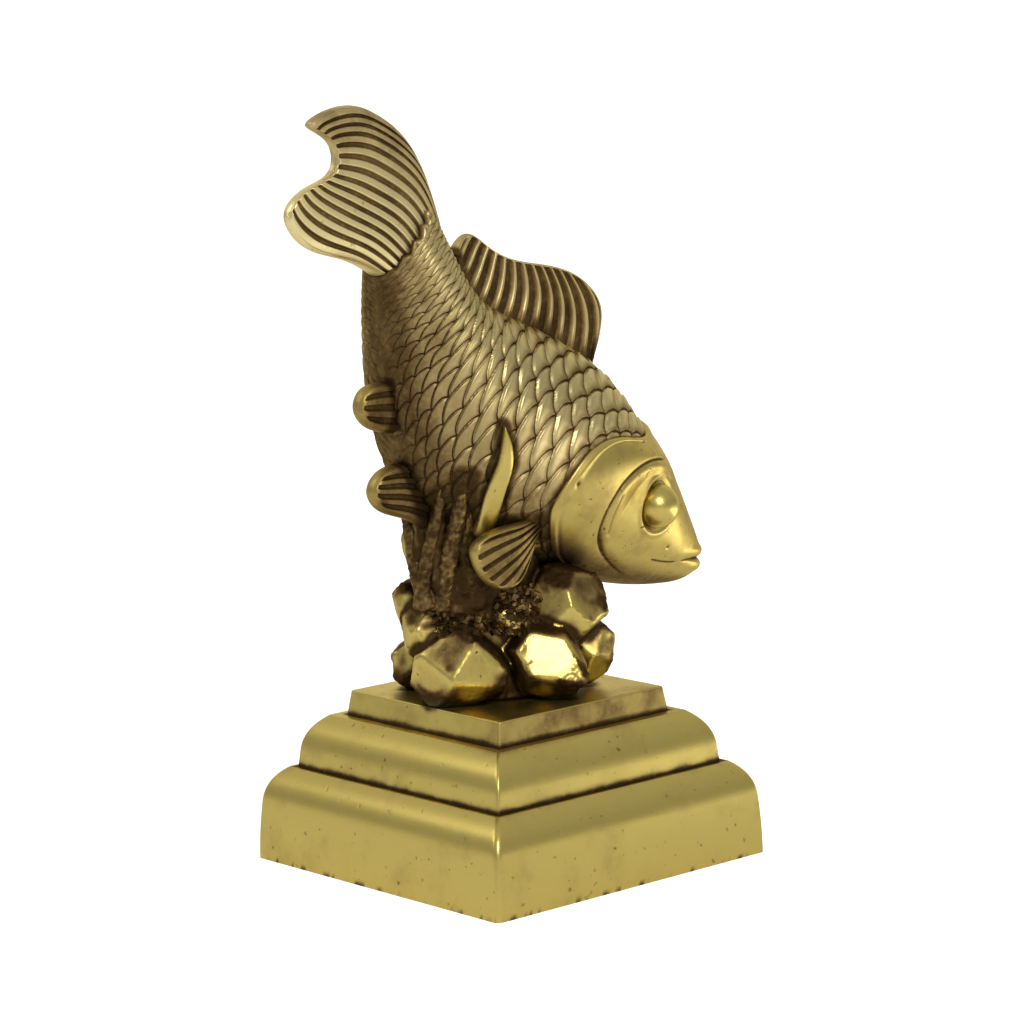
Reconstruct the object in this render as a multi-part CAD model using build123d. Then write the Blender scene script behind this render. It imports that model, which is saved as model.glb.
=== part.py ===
"""Cast brass carp diving over rocks and seaweed, on a hollow square stepped plinth.

Millimetres. The origin is the middle of the plinth's underside, +Z is up and the carp heads along +X.
"""
import os
from math import asin, degrees
from build123d import *

# Plinth: a hollow square casting in three steps, open underneath
plinth_width = 90.0
plinth_corner_radius = 1.6
plinth_wall = 5.0
top_plate_thickness = 5.0
lower_face_height = 14.6
lower_face_draft = 1.0
lower_ovolo_height = 8.8
lower_ovolo_depth = 4.8
lower_ledge = 1.8
middle_foot_height = 3.6
middle_foot_draft = 0.4
middle_ovolo_height = 9.5
middle_ovolo_depth = 5.5
middle_ledge = 3.1
upper_face_height = 6.1
upper_face_draft = 0.9
face_bulge_share = 0.02
ovolo_bulge_share = 0.16

# Carp: overall length and width, and height of the tail above the plinth
fish_length = 129.0
fish_height = 146.7
fish_width = 44.6
body_wall = 4.0
gill_relief = 1.0
eye_radius = 5.4
mouth_gap = 1.2
scale_clearance = 1.2

# Fins: thickness at the root and at the free edge
tail_root_thickness = 8.0
tail_edge_thickness = 3.6
dorsal_root_thickness = 5.0
dorsal_edge_thickness = 3.0
belly_fin_root_thickness = 5.6
belly_fin_edge_thickness = 4.4
pectoral_thickness = 4.2
pectoral_length = 28.0
pectoral_height = 16.4
pectoral_splay = 8.0

# Seaweed
blade_thickness = 2.4
stem_diameter = 5.6

# Rock: a core that carries the belly, with boulders round it
rock_length = 52.0
rock_width = 42.0
boulder_size = 19.0

# Fixing: a stud in the rock, drawn down by a nut inside the plinth
stud_diameter = 6.0
stud_bite = 16.0
stud_tail = 3.0
thread_clearance = 0.05
hole_clearance = 0.3
washer_diameter = 18.0
washer_thickness = 1.6
nut_across_flats = 10.0
nut_height = 5.0

overrun = 20.0

# Places along the carp, as shares of its length and height: back x and z, belly x and z, half width
station_shares = (
    (0.485, 0.182, 0.479, 0.147, 0.103),
    (0.470, 0.215, 0.447, 0.136, 0.197),
    (0.440, 0.270, 0.384, 0.134, 0.280),
    (0.398, 0.334, 0.310, 0.142, 0.359),
    (0.347, 0.401, 0.214, 0.162, 0.424),
    (0.285, 0.468, 0.097, 0.194, 0.475),
    (0.217, 0.533, -0.035, 0.234, 0.500),
    (0.116, 0.588, -0.151, 0.292, 0.489),
    (0.016, 0.628, -0.233, 0.378, 0.448),
    (-0.066, 0.663, -0.273, 0.487, 0.395),
    (-0.124, 0.715, -0.285, 0.599, 0.336),
    (-0.159, 0.780, -0.293, 0.678, 0.269),
    (-0.186, 0.838, -0.301, 0.722, 0.202),
)
cavity_stations = slice(2, 11)

# Scales: rows along the stretch of the stations from the gill to the tail, columns from back to belly
scaled_flank_shares = (0.47, 1.0)
scale_rows = 32
scale_columns = 7
last_raised_row = 28
flank_steps = 300

# Two families of lines part the scales. A line's number is the sum of these shares times 1, row, column,
# row squared, row times column and column squared. Behind the tail row, the rows beyond it count by the tail
# shares instead: rows beyond, their square, and their product with the columns off the middle of the flank
upright_line_shares = (-6.42, 0.494, -0.295, 0.0, 0.0, 0.187)
slanted_line_shares = (-0.69, 0.270, -1.980, 0.006, 0.061, 0.139)
tail_row = 13
upright_tail_shares = (0.494, 0.009, -0.045)
slanted_tail_shares = (0.640, 0.005, -0.035)
newton_rounds = 12
newton_step_share = 0.001

# One scale: the part of its cell that it fills, its height and root as shares of its half breadth, and how
# far its arc runs on under the flank
scale_fill_share = 0.66
scale_lift_share = 0.36
scale_root_share = 0.45
scale_run_share = 1.25

# Outlines in the carp's middle plane, as shares of its length and height
gill_edge_shares = (
    (0.345, 0.480), (0.284, 0.417), (0.159, 0.424), (0.083, 0.416), (0.038, 0.389), (0.008, 0.355),
    (-0.008, 0.324), (0.008, 0.278), (0.044, 0.238), (0.116, 0.196), (0.160, 0.120),
)
snout_clear_shares = ((0.600, 0.080), (0.600, 0.480))
eye_place_shares = (0.260, 0.297)
eye_depth_share = 0.385
mouth_shares = ((0.420, 0.172), (0.560, 0.168))
tail_shares = (
    (-0.186, 0.834), (-0.219, 0.932), (-0.300, 0.986), (-0.382, 0.997), (-0.447, 0.970), (-0.399, 0.941),
    (-0.391, 0.904), (-0.458, 0.872), (-0.503, 0.832), (-0.474, 0.787), (-0.372, 0.752), (-0.301, 0.722),
)
tail_tongue_shares = ((-0.256, 0.715), (-0.179, 0.775))
tail_axis_shares = ((-0.243, 0.780), (-0.480, 0.970))
dorsal_shares = (
    (0.237, 0.545), (0.261, 0.633), (0.204, 0.686), (0.074, 0.718), (-0.027, 0.753), (-0.077, 0.775),
    (-0.112, 0.746),
)
dorsal_tongue_shares = ((-0.102, 0.640), (0.020, 0.590), (0.205, 0.500))
dorsal_axis_shares = ((0.072, 0.600), (0.123, 0.720))
anal_shares = ((-0.279, 0.548), (-0.344, 0.537), (-0.356, 0.511), (-0.344, 0.487), (-0.279, 0.463))
anal_tongue_shares = ((-0.230, 0.480), (-0.230, 0.540))
anal_axis_shares = ((-0.279, 0.505), (-0.356, 0.511))
pelvic_shares = (
    (-0.261, 0.412), (-0.307, 0.401), (-0.329, 0.371), (-0.317, 0.346), (-0.257, 0.321), (-0.189, 0.290),
)
pelvic_tongue_shares = ((-0.169, 0.330), (-0.220, 0.400))
pelvic_axis_shares = ((-0.225, 0.365), (-0.329, 0.371))
blade_shares = (
    (-0.133, 0.475), (-0.117, 0.443), (-0.111, 0.411), (-0.114, 0.378), (-0.113, 0.335), (-0.100, 0.285),
    (-0.131, 0.285), (-0.147, 0.345), (-0.148, 0.380), (-0.141, 0.413), (-0.136, 0.453),
)

# Pectoral fin: outline as shares of its own length and height from its root, and where the root sits
pectoral_shares = (
    (0.000, 0.160), (0.450, 0.060), (0.870, -0.080), (1.000, -0.350), (0.890, -0.650), (0.650, -0.900),
    (0.450, -0.920), (0.220, -0.520), (0.000, -0.250),
)
pectoral_root_shares = (0.014, 0.301)
pectoral_root_depth_share = 0.415

# Seaweed stem: x and z as shares of the carp's length and height, y as a share of its width
stem_route_shares = (
    (-0.177, -0.275, 0.400), (-0.176, -0.215, 0.330), (-0.180, -0.150, 0.262), (-0.182, -0.110, 0.200),
    (-0.174, -0.080, 0.130),
)

# Core sections: height and middle as shares of the carp, half length and half width as shares of the rock
core_shares = (
    (0.000, 0.010, 0.400, 0.360), (0.130, -0.020, 0.385, 0.290), (0.240, -0.060, 0.345, 0.225),
    (0.400, -0.082, 0.270, 0.170),
)

# Boulders: x and y as shares of the rock, height and three sizes as shares of a boulder, turn in degrees
boulder_shares = (
    (-0.275, 0.052, 0.390, 1.20, 1.10, 0.92, 22),
    (0.008, -0.330, 0.470, 1.00, 1.00, 0.98, 47),
    (-0.256, 0.288, 0.860, 0.76, 0.76, 0.80, 12),
    (-0.385, 0.300, 1.130, 0.60, 0.62, 0.62, 35),
    (-0.302, 0.440, 0.310, 0.62, 0.64, 0.70, 5),
    (0.192, -0.279, 1.110, 1.00, 0.96, 1.00, 30),
    (0.340, -0.286, 0.440, 0.76, 0.78, 0.86, 55),
    (-0.140, -0.235, 1.140, 0.56, 0.54, 0.46, 18),
    (0.385, 0.143, 0.390, 0.84, 0.86, 0.84, 10),
    (0.080, 0.345, 0.490, 1.00, 0.98, 1.00, 40),
    (0.240, 0.200, 1.080, 0.78, 0.80, 0.80, 25),
)
boulder_tilt = 14.0
facet_share = 0.27

half_width = plinth_width / 2
plinth_height = (lower_face_height + lower_ovolo_height + middle_foot_height + middle_ovolo_height
                 + upper_face_height)
plate_underside = plinth_height - top_plate_thickness


def fish_point(x_share, z_share):
    """Place a share pair in the carp's middle plane."""
    return Vector(fish_length * x_share, 0, plinth_height + fish_height * z_share)


def bulged(start, end, share):
    """Join two profile points with an arc that swells outwards by a share of its chord."""
    start, end = Vector(*start), Vector(*end)
    chord = end - start
    middle = (start + end) / 2 + Vector(chord.Z, 0, -chord.X) * share
    return ThreePointArc(start, middle, end)


def plinth_profile_points():
    """Points up one side of the plinth, from the foot to the top plate."""
    x = half_width
    z = 0
    points = [(x, 0, z)]
    for inset, rise in (
        (lower_face_draft, lower_face_height),
        (lower_ovolo_depth, lower_ovolo_height),
        (lower_ledge, 0),
        (middle_foot_draft, middle_foot_height),
        (middle_ovolo_depth, middle_ovolo_height),
        (middle_ledge, 0),
        (upper_face_draft, upper_face_height),
    ):
        x -= inset
        z += rise
        points.append((x, 0, z))
    return points


def square_casting(profile):
    """Run a profile along both sides of the square, mitred at the corners."""
    run = extrude(profile, amount=half_width + overrun, both=True)
    return run & (Rot(0, 0, 90) * run)


def plinth():
    """Three-step plinth with a hollow underside and a hole for the stud."""
    points = plinth_profile_points()
    bulges = (face_bulge_share, ovolo_bulge_share, 0, 0, ovolo_bulge_share, 0, 0)
    side = [
        bulged(start, end, bulge) if bulge else Line(start, end)
        for start, end, bulge in zip(points, points[1:], bulges)
    ]
    top = Line(points[-1], (0, 0, plinth_height))
    half = make_face(side + [top, Line((0, 0, plinth_height), (0, 0, 0)), Line((0, 0, 0), points[0])])
    outer = square_casting(half + mirror(half, about=Plane.YZ))
    outer &= extrude(RectangleRounded(plinth_width, plinth_width, plinth_corner_radius), plinth_height)

    knee, lower_top, middle_foot, middle_top = points[1], points[2], points[4], points[6]
    inner_points = [
        (0, 0, -overrun),
        (knee[0] - plinth_wall, 0, -overrun),
        (knee[0] - plinth_wall, 0, knee[2] - plinth_wall),
        (points[3][0] - plinth_wall, 0, lower_top[2] - plinth_wall),
        (middle_foot[0] - plinth_wall, 0, middle_foot[2] - plinth_wall),
        (middle_top[0] - plinth_wall, 0, plate_underside - plinth_wall / 2),
        (middle_top[0] - plinth_wall, 0, plate_underside),
        (0, 0, plate_underside),
    ]
    hollow_half = make_face(Polyline(*inner_points, close=True))
    hollow = square_casting(hollow_half + mirror(hollow_half, about=Plane.YZ))
    hole = Pos(0, 0, plate_underside) * Cylinder(
        stud_diameter / 2 + hole_clearance, top_plate_thickness * 2)
    return outer - hollow - hole


def fish_loft(stations, grow):
    """Carp's body through oval sections, each grown by a length all round."""
    sections = []
    for back_x, back_z, belly_x, belly_z, width_share in stations:
        back = fish_point(back_x, back_z)
        belly = fish_point(belly_x, belly_z)
        rise = back - belly
        plane = Plane((back + belly) / 2, x_dir=rise, z_dir=rise.cross(Vector(0, 1, 0)))
        sections.append(plane * Ellipse(rise.length / 2 + grow, fish_width * width_share + grow))
    return loft(sections)


def head_prism():
    """Region in front of the gill cover's edge, through the whole width."""
    gill = [fish_point(*share) for share in gill_edge_shares]
    clear = [fish_point(*share) for share in snout_clear_shares]
    rest = Polyline(gill[-1], *clear, gill[0])
    return extrude(make_face([Spline(*gill), rest]), amount=fish_width, both=True)


def carp():
    """Whole outer form: body, raised head and gill covers, eyes and mouth."""
    body = fish_loft(station_shares, 0)
    body += fish_loft(station_shares, gill_relief) & head_prism()
    eye = fish_point(*eye_place_shares)
    for side in (-1, 1):
        body += Pos(eye.X, side * fish_width * eye_depth_share, eye.Z) * Sphere(eye_radius)
    corner, front = [fish_point(*share) for share in mouth_shares]
    lift = Vector(0, 0, mouth_gap / 2)
    slit = make_face(Polyline(corner, front + lift, front - lift, close=True))
    return body - extrude(slit, amount=fish_width, both=True)


def line_numbers(row, column):
    """Numbers of the upright and the slanted line of scales through a row and column."""
    front = min(row, tail_row)
    tail = row - front
    front_terms = (1, front, column, front ** 2, front * column, column ** 2)
    tail_terms = (tail, tail ** 2, tail * (column - scale_columns / 2))
    return [
        sum(share * term for share, term in zip(front_shares + tail_shares, front_terms + tail_terms))
        for front_shares, tail_shares in (
            (upright_line_shares, upright_tail_shares), (slanted_line_shares, slanted_tail_shares))
    ]


def line_crossing(upright, slanted):
    """Row and column where two lines of scales cross, by Newton's method from the middle of the flank."""
    row, column = tail_row, scale_columns / 2
    for _ in range(newton_rounds):
        here = line_numbers(row, column)
        ahead = line_numbers(row + newton_step_share, column)
        beside = line_numbers(row, column + newton_step_share)
        by_row = [(a - b) / newton_step_share for a, b in zip(ahead, here)]
        by_column = [(a - b) / newton_step_share for a, b in zip(beside, here)]
        miss = upright - here[0], slanted - here[1]
        spread = by_row[0] * by_column[1] - by_row[1] * by_column[0]
        row += (miss[0] * by_column[1] - miss[1] * by_column[0]) / spread
        column += (miss[1] * by_row[0] - miss[0] * by_row[1]) / spread
    return row, column


def flank_sections():
    """Back, belly and half width of closely spaced sections, each with the row of scales that it lies in."""
    backs = [fish_point(back_x, back_z) for back_x, back_z, *_ in station_shares]
    bellies = [fish_point(belly_x, belly_z) for _, _, belly_x, belly_z, _ in station_shares]
    widths = [Vector(0, fish_width * width, 0) for *_, width in station_shares]
    run = [0]
    for i in range(1, len(station_shares)):
        steps = [line[i] - line[i - 1] for line in (backs, bellies, widths)]
        run.append(run[-1] + sum(step.dot(step) for step in steps) ** 0.5)
    marks = [place / run[-1] for place in run]
    lines = [Edge.make_spline(line, parameters=marks).geom_adaptor() for line in (backs, bellies, widths)]
    low, high = scaled_flank_shares
    places = [low + (high - low) * i / flank_steps for i in range(flank_steps + 1)]
    sections = [[Vector(line.Value(place)) for line in lines] for place in places]
    passed = [0]
    for before, after in zip(sections, sections[1:]):
        middles = [(back + belly) / 2 for back, belly, _ in (before, after)]
        girth = (after[0] - after[1]).length / 2 + after[2].Y
        passed.append(passed[-1] + (middles[1] - middles[0]).length / girth)
    return [(scale_rows * place / passed[-1], *section) for place, section in zip(passed, sections)]


def flank_place(flank, sections, row, column):
    """Point of the right flank at a row and column."""
    _, back, belly, width = min(sections, key=lambda section: abs(section[0] - row))
    rise = back - belly
    plane = Plane((back + belly) / 2, x_dir=rise, z_dir=rise.cross(Vector(0, 1, 0)))
    ring = plane * EllipticalCenterArc((0, 0), rise.length / 2, width.Y, 180, arc_size=180)
    return flank.closest_points(ring.position_at(1 - column / scale_columns))[0]


def scale(start, crown, end, breadth):
    """One leaf-shaped scale: an arc in section, turned along an arc that dips into the flank at its ends."""
    spine = ThreePointArc(start, crown, end)
    centre = spine.arc_center
    plane = Plane(crown, x_dir=crown - centre, z_dir=end - start)
    lift = scale_lift_share * breadth
    depth = lift + scale_root_share * breadth
    radius = (breadth ** 2 + lift ** 2) / (2 * lift)
    half_chord = (2 * radius * depth - depth ** 2) ** 0.5
    arc = ThreePointArc((-depth, -half_chord), (0, 0), (-depth, half_chord))
    section = plane * make_face([arc, Line((-depth, half_chord), (-depth, -half_chord))])
    axis = Axis(centre, plane.y_dir)
    turn = scale_run_share * degrees(asin((end - start).length / 2 / spine.radius))
    return revolve(section.rotate(axis, -turn), axis, 2 * turn)


def scales(seated):
    """Raised scales of the right flank, clear of its middle plane and of the pieces seated on it."""
    flank = max(fish_loft(station_shares, 0).faces(), key=lambda face: face.area)
    sections = flank_sections()
    numbers = [line_numbers(row, column) for row in range(scale_rows) for column in range(scale_columns + 1)]
    cells = [range(int(min(family)) - 1, int(max(family)) + 1) for family in zip(*numbers)]
    low, middle, high = (1 - scale_fill_share) / 2, 1 / 2, (1 + scale_fill_share) / 2
    found = []
    for upright in cells[0]:
        for slanted in cells[1]:
            inside = ((middle, middle), (low, high), (high, low), (low, low), (high, high))
            crossings = [line_crossing(upright + first, slanted + second) for first, second in inside]
            rows, columns = zip(*crossings)
            if min(rows) < 0 or max(rows) > last_raised_row:
                continue
            if min(columns) < 0 or max(columns) > scale_columns:
                continue
            place, start, end, fore, aft = [flank_place(flank, sections, *crossing) for crossing in crossings]
            reach = (end - start).length / 2
            if max(start.Y, end.Y) > -scale_clearance or min(
                    piece.distance_to(place) for piece in seated) < reach + scale_clearance:
                continue
            breadth = (fore - aft).length / 2
            crown = place + flank.normal_at(place) * scale_lift_share * breadth
            found.append(scale(start, crown, end, breadth))
    return found


def median_fin(outline_shares, tongue_shares, axis_shares, root_thickness, edge_thickness):
    """Fin in the middle plane that thins from its root to its edge, with a tongue between the halves."""
    outline = [fish_point(*share) for share in outline_shares]
    tongue = [fish_point(*share) for share in tongue_shares]
    edges = [Spline(*outline), Polyline(outline[-1], *tongue, outline[0])]
    plate = extrude(make_face(edges), amount=root_thickness, both=True)
    root, tip = [fish_point(*share) for share in axis_shares]
    reach = (tip - root).length
    taper = Plane(root, x_dir=tip - root, z_dir=(tip - root).cross(Vector(0, 1, 0)))
    wedge = Polyline(
        (-fish_length, -root_thickness / 2), (0, -root_thickness / 2), (reach, -edge_thickness / 2),
        (fish_length, -edge_thickness / 2), (fish_length, edge_thickness / 2), (reach, edge_thickness / 2),
        (0, root_thickness / 2), (-fish_length, root_thickness / 2), close=True)
    return plate & extrude(taper * make_face(wedge), amount=fish_length, both=True)


def pectoral_fin():
    """Right fan-shaped fin, splayed a little from the flank it is brazed to."""
    root = fish_point(*pectoral_root_shares)
    outline = [(pectoral_length * x, pectoral_height * z) for x, z in pectoral_shares]
    fan = make_face([Spline(*outline), Line(outline[-1], outline[0])])
    plate = extrude(fan, amount=pectoral_thickness / 2, both=True)
    seat = Pos(root.X, -fish_width * pectoral_root_depth_share, root.Z)
    return seat * Rot(0, 0, 180 - pectoral_splay) * Rot(90, 0, 0) * plate


def seaweed_blade():
    """Right S-shaped blade that lies against the flank."""
    points = [fish_point(*share) for share in blade_shares]
    outline = make_face([Spline(*points), Line(points[-1], points[0])])
    prism = extrude(outline, amount=fish_width, dir=(0, -1, 0))
    return prism & fish_loft(station_shares, blade_thickness)


def seaweed_stem():
    """Right upright stem from the rock to the flank."""
    route = []
    for x, y, z in stem_route_shares:
        place = fish_point(x, z)
        route.append(Vector(place.X, fish_width * y, place.Z))
    path = FilletPolyline(*route, radius=stem_diameter * 2)
    foot = Plane(path @ 0, z_dir=path % 0)
    return sweep(foot * Circle(stem_diameter / 2), path=path)


def boulder(x, y, z, long_share, wide_share, tall_share, turn):
    """One faceted boulder."""
    sizes = [boulder_size * share for share in (long_share, wide_share, tall_share)]
    block = Box(*sizes)
    block = chamfer(block.edges(), min(sizes) * facet_share)
    place = Pos(rock_length * x, rock_width * y, plinth_height + boulder_size * z)
    return place * Rot(0, 0, turn) * Rot(boulder_tilt, boulder_tilt / 2, 0) * block


def rock():
    """Core and boulders as one casting, flat underneath."""
    sections = []
    for height, middle, long_share, wide_share in core_shares:
        place = fish_point(middle, height)
        sections.append(Plane(place) * Ellipse(rock_length * long_share, rock_width * wide_share))
    mass = loft(sections)
    for shares in boulder_shares:
        mass += boulder(*shares)
    below = Pos(0, 0, plinth_height - overrun) * Box(
        plinth_width, plinth_width, overrun * 2)
    bore = Pos(0, 0, plinth_height) * Cylinder(stud_diameter / 2 + thread_clearance, stud_bite * 2)
    return mass - below - bore


def fixing():
    """Stud, washer and nut on the plinth's axis."""
    washer_z = plate_underside - washer_thickness / 2
    nut_z = plate_underside - washer_thickness - nut_height / 2
    stud_low = plate_underside - washer_thickness - nut_height - stud_tail
    stud_length = plinth_height + stud_bite - stud_low
    stud = Pos(0, 0, stud_low + stud_length / 2) * Cylinder(stud_diameter / 2, stud_length)
    washer = Cylinder(washer_diameter / 2, washer_thickness) - Cylinder(
        stud_diameter / 2 + hole_clearance, washer_thickness)
    hexagon = RegularPolygon(nut_across_flats / 2, 6, major_radius=False)
    nut = extrude(hexagon, amount=nut_height / 2, both=True) - Cylinder(
        stud_diameter / 2 + thread_clearance, nut_height)
    return {
        "fixing_stud": stud,
        "fixing_washer": Pos(0, 0, washer_z) * washer,
        "fixing_nut": Pos(0, 0, nut_z) * nut,
    }


def assemble():
    """Every piece of the figure, cut so that neighbours meet face to face."""
    whole = carp()
    belly_sizes = (belly_fin_root_thickness, belly_fin_edge_thickness)
    fins = {
        "tail_fin": median_fin(
            tail_shares, tail_tongue_shares, tail_axis_shares, tail_root_thickness, tail_edge_thickness),
        "dorsal_fin": median_fin(
            dorsal_shares, dorsal_tongue_shares, dorsal_axis_shares, dorsal_root_thickness,
            dorsal_edge_thickness),
        "anal_fin": median_fin(anal_shares, anal_tongue_shares, anal_axis_shares, *belly_sizes),
        "pelvic_fin": median_fin(pelvic_shares, pelvic_tongue_shares, pelvic_axis_shares, *belly_sizes),
    }
    shell = whole - fish_loft(station_shares[cavity_stations], -body_wall)
    for fin in fins.values():
        shell -= fin
    right_body = split(shell, bisect_by=Plane.XZ, keep=Keep.TOP)
    pectoral = pectoral_fin() - whole
    blade = seaweed_blade() - whole - pectoral
    stem = seaweed_stem() - whole - pectoral - blade - fins["pelvic_fin"]
    mount = rock() - whole - fins["pelvic_fin"]
    head = fish_loft(station_shares, gill_relief) & head_prism()
    right_body += scales([head, pectoral, blade, stem, mount, *fins.values()])
    right_pieces = {
        "fish_body": right_body,
        "pectoral_fin": pectoral,
        "seaweed_blade": blade,
        "seaweed_stem": stem,
    }
    pieces = {"plinth": plinth(), **fixing(), **fins}
    for name, piece in right_pieces.items():
        other = mirror(piece, about=Plane.XZ)
        pieces[name + "_right"] = piece
        pieces[name + "_left"] = other
        if name != "fish_body":
            mount -= piece
            mount -= other
    pieces["rock_mount"] = mount
    return pieces


if __name__ == "__main__":
    os.makedirs("parts", exist_ok=True)
    for node, piece in assemble().items():
        export_step(piece, f"parts/{node}.step")
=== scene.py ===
"""Looks of a cast brass carp that dives over rocks and seaweed on a stepped plinth.

Metres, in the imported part's own frame: the origin is the middle of the plinth's underside, +Z is up
and the carp heads along +X. The file is laid out as an add-on and is run as a script.
"""
import math

import bmesh
import bpy
import numpy as np
from bpy.props import FloatProperty, FloatVectorProperty, PointerProperty
from mathutils import Matrix, Vector, kdtree, noise


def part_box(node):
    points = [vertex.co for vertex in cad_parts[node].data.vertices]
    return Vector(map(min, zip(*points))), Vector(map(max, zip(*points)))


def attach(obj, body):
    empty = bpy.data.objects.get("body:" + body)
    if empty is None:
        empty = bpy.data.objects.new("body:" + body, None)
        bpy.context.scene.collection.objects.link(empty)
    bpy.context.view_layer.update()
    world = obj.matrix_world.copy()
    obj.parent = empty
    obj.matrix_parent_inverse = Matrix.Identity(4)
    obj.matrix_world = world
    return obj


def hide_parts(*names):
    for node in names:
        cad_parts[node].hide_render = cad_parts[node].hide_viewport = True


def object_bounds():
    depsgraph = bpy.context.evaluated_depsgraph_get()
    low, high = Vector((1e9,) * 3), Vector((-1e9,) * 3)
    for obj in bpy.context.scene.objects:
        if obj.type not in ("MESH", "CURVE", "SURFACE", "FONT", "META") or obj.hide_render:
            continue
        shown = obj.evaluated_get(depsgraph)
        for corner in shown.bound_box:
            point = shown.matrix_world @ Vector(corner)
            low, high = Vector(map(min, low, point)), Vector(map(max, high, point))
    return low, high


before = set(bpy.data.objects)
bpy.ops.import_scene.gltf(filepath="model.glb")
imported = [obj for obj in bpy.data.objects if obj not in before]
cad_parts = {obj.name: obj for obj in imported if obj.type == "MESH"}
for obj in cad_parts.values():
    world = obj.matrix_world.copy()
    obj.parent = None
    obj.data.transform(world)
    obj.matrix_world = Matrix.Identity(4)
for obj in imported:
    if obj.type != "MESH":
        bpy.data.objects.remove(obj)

bl_info = {
    "name": "Brass carp figurine",
    "version": (1, 0, 0),
    "blender": (4, 5, 0),
    "location": "View3D > Sidebar > Carp",
    "description": "Builds the finished surfaces of a brass carp figurine round its packed solids",
    "category": "Object",
}

MM = 0.001
CAD_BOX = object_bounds()
PLINTH_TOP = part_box("plinth")[1].z
SIDES = {"right": -1, "left": 1}

# Places along the carp, as shares of its length and height: back x and z, belly x and z, half width
STATION_SHARES = (
    (0.485, 0.182, 0.479, 0.147, 0.103),
    (0.470, 0.215, 0.447, 0.136, 0.197),
    (0.440, 0.270, 0.384, 0.134, 0.280),
    (0.398, 0.334, 0.310, 0.142, 0.359),
    (0.347, 0.401, 0.214, 0.162, 0.424),
    (0.285, 0.468, 0.097, 0.194, 0.475),
    (0.217, 0.533, -0.035, 0.234, 0.500),
    (0.116, 0.588, -0.151, 0.292, 0.489),
    (0.016, 0.628, -0.233, 0.378, 0.448),
    (-0.066, 0.663, -0.273, 0.487, 0.395),
    (-0.124, 0.715, -0.285, 0.599, 0.336),
    (-0.159, 0.780, -0.293, 0.678, 0.269),
    (-0.186, 0.838, -0.301, 0.722, 0.202),
)

# Two families of lines part the scales. A line's number is the sum of these shares times 1, row,
# column, row squared, row times column and column squared. Behind the tail row, the rows beyond it
# count by the tail shares instead: rows beyond, their square, and their product with the columns off
# the middle of the flank
UPRIGHT_LINE_SHARES = (-6.42, 0.494, -0.295, 0.0, 0.0, 0.187)
SLANTED_LINE_SHARES = (-0.69, 0.270, -1.980, 0.006, 0.061, 0.139)
TAIL_ROW = 13
UPRIGHT_TAIL_SHARES = (0.494, 0.009, -0.045)
SLANTED_TAIL_SHARES = (0.640, 0.005, -0.035)
GILL_STATION_SHARE = 0.47

# Lines on the head, as shares of the carp's length and height
GILL_EDGE_SHARES = (
    (0.345, 0.480), (0.284, 0.417), (0.159, 0.424), (0.083, 0.416), (0.038, 0.389), (0.008, 0.355),
    (-0.008, 0.324), (0.008, 0.278), (0.044, 0.238), (0.116, 0.196), (0.160, 0.120),
)
CHEEK_LINE_SHARES = (
    (0.318, 0.363), (0.247, 0.375), (0.184, 0.369), (0.134, 0.345), (0.110, 0.306), (0.116, 0.262),
    (0.150, 0.227), (0.205, 0.193), (0.260, 0.167),
)
GILL_OVERLAP = 0.025
CHEEK_CREASE_SHARES = ((0.142, 0.330), (0.131, 0.298), (0.134, 0.268))
MOUTH_SHARES = (
    (0.274, 0.202), (0.311, 0.193), (0.346, 0.187), (0.403, 0.183), (0.450, 0.178), (0.500, 0.172),
)
NOSTRIL_SHARES = (0.316, 0.218)
GILL_PIT_SHARES = (0.035, 0.363)
EYE_SHARES = (0.265, 0.297)
EYE_DEPTH_SHARE = 0.435

# Fins: free outline, the two outline points where the edge begins and ends, and the buried root
FINS = {
    "tail_fin": (
        ((-0.186, 0.834), (-0.219, 0.932), (-0.300, 0.986), (-0.382, 0.997), (-0.447, 0.970),
         (-0.399, 0.941), (-0.391, 0.904), (-0.458, 0.872), (-0.503, 0.832), (-0.474, 0.787),
         (-0.372, 0.752), (-0.301, 0.722)),
        (4, 8),
        ((-0.186, 0.834), (-0.184, 0.785), (-0.240, 0.735), (-0.301, 0.722)),
    ),
    "dorsal_fin": (
        ((0.237, 0.545), (0.261, 0.633), (0.204, 0.686), (0.074, 0.718), (-0.027, 0.753),
         (-0.077, 0.775), (-0.112, 0.746)),
        (2, 5),
        ((0.237, 0.545), (0.195, 0.515), (0.100, 0.567), (0.000, 0.607), (-0.080, 0.650), (-0.112, 0.746)),
    ),
    "anal_fin": (
        ((-0.279, 0.548), (-0.344, 0.537), (-0.356, 0.511), (-0.344, 0.487), (-0.279, 0.463)),
        (1, 3),
        ((-0.279, 0.548), (-0.250, 0.505), (-0.279, 0.463)),
    ),
    "pelvic_fin": (
        ((-0.261, 0.412), (-0.307, 0.401), (-0.329, 0.371), (-0.317, 0.346), (-0.257, 0.321),
         (-0.189, 0.290)),
        (1, 3),
        ((-0.261, 0.412), (-0.210, 0.355), (-0.189, 0.290)),
    ),
}

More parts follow.
